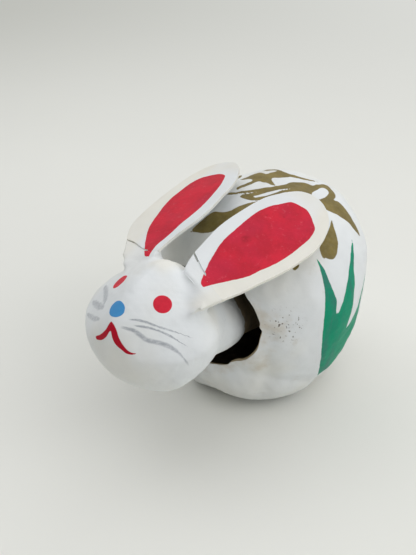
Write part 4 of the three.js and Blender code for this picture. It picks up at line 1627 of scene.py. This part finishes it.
# Lamps: name, place, side of the square and power
LAMPS = (
    ("overhead_light", (0.1, 0.35, 1.5), 3.0, 28.5),
    ("side_light", (1.4, 0.2, 0.8), 1.4, 7.6),
    ("far_side_light", (-1.1, -0.4, 1.1), 1.6, 4.0),
)
ROOM_LIGHT = (0.95, 0.97, 1.0)
ROOM_STRENGTH = 0.29


class RABBIT_OT_stage(bpy.types.Operator):
    """Sets the floor, the soft light and the camera at the photograph's angle"""

    bl_idname = "rabbit.stage"
    bl_label = "Stage"

    def execute(self, context):
        colour = colours()
        self.floor(colour)
        self.lamps()
        self.world(colour)
        self.camera()
        context.scene.view_settings.view_transform = "Standard"
        return {"FINISHED"}

    def floor(self, colour):
        """A wide pale sheet that fades into an even ground, dimmer at the left."""
        piece = add("floor", bpy.ops.mesh.primitive_plane_add, size=12)
        sheet = Finish("floor_sheet", roughness=0.85)
        sheet.feed("Base Color", sheet.mix(sheet.noise(120), colour["floor"], darker(colour["floor"], 0.97)))
        away = sheet.node("ShaderNodeVectorMath", {"operation": "LENGTH"}, {0: sheet.place}, "Value")
        right = (math.cos(CAMERA_AZIMUTH), math.sin(CAMERA_AZIMUTH), 0)
        rightward = sheet.node("ShaderNodeVectorMath", {"operation": "DOT_PRODUCT"},
                               {0: sheet.place, 1: right}, "Value")
        dim, bright = (
            sheet.node("ShaderNodeEmission", {}, {"Color": (*colour[name], 1)})
            for name in ("backdrop_dim", "backdrop")
        )
        glow = sheet.blend(rightward.step(*DIM_TO_LIT).higher(away.step(*ALL_LIT)), dim, bright)
        paper = Field(sheet, sheet.shader.outputs[0])
        sheet.end(sheet.blend(away.step(*FLOOR_FADE) * sheet.seen(), paper, glow), "Material Output")
        piece.data.materials.append(sheet.material)

    def lamps(self):
        """Large soft lamps that look at the rabbit."""
        for name, place, size, power in LAMPS:
            data = bpy.data.lights.new(name, "AREA")
            data.shape = "SQUARE"
            data.size = size
            data.energy = power
            lamp = bpy.data.objects.new(name, data)
            bpy.context.scene.collection.objects.link(lamp)
            lamp.location = place
            lamp.rotation_euler = (Vector((0, 0, 0.05)) - lamp.location).to_track_quat("-Z", "Y").to_euler()

    def world(self, colour):
        """Even light from all round, and the pale ground for the camera."""
        world = bpy.data.worlds.new("room")
        bpy.context.scene.world = world
        world.use_nodes = True
        room = Nodes(world.node_tree)
        light = room.tree.nodes["Background"]
        light.inputs["Color"].default_value = (*ROOM_LIGHT, 1)
        light.inputs["Strength"].default_value = ROOM_STRENGTH
        ground = room.node("ShaderNodeBackground", {}, {"Color": (*colour["backdrop"], 1)})
        room.end(room.blend(room.seen(), Field(room, light.outputs[0]), ground), "World Output")

    def camera(self):
        """The camera that the photograph's outlines were fitted with."""
        data = bpy.data.cameras.new("photo_camera")
        data.sensor_fit = "VERTICAL"
        data.sensor_height = SENSOR
        data.lens = FOCAL_PIXELS / PHOTO_HEIGHT * SENSOR
        data.clip_start = 0.01
        data.clip_end = 30
        camera = bpy.data.objects.new("photo_camera", data)
        bpy.context.scene.collection.objects.link(camera)
        camera.location = CAMERA * MM
        camera.rotation_euler = (math.pi / 2 - CAMERA_ELEVATION, 0, CAMERA_AZIMUTH)
        bpy.context.scene.camera = camera


class RABBIT_PT_panel(bpy.types.Panel):
    """Lists the rabbit's settings and the steps that model it"""

    bl_idname = "RABBIT_PT_panel"
    bl_label = "Nodding paper rabbit"
    bl_space_type = "VIEW_3D"
    bl_region_type = "UI"
    bl_category = "Rabbit"

    def draw(self, context):
        for group in (context.scene.rabbit_shape, context.scene.rabbit_paint):
            column = self.layout.column()
            for name in group.__annotations__:
                column.prop(group, name)
        for operator in OPERATORS:
            self.layout.operator(operator.bl_idname)


OPERATORS = (RABBIT_OT_body, RABBIT_OT_head, RABBIT_OT_ears, RABBIT_OT_inner_pieces, RABBIT_OT_stage)
CLASSES = (RabbitShape, RabbitPaint, *OPERATORS, RABBIT_PT_panel)


def register():
    for cls in CLASSES:
        bpy.utils.register_class(cls)
    bpy.types.Scene.rabbit_shape = PointerProperty(type=RabbitShape)
    bpy.types.Scene.rabbit_paint = PointerProperty(type=RabbitPaint)


def unregister():
    del bpy.types.Scene.rabbit_paint
    del bpy.types.Scene.rabbit_shape
    for cls in reversed(CLASSES):
        bpy.utils.unregister_class(cls)


def main():
    register()
    bpy.ops.rabbit.body()
    bpy.ops.rabbit.head()
    bpy.ops.rabbit.ears()
    bpy.ops.rabbit.inner_pieces()
    bpy.ops.rabbit.stage()


if __name__ == "__main__":
    main()
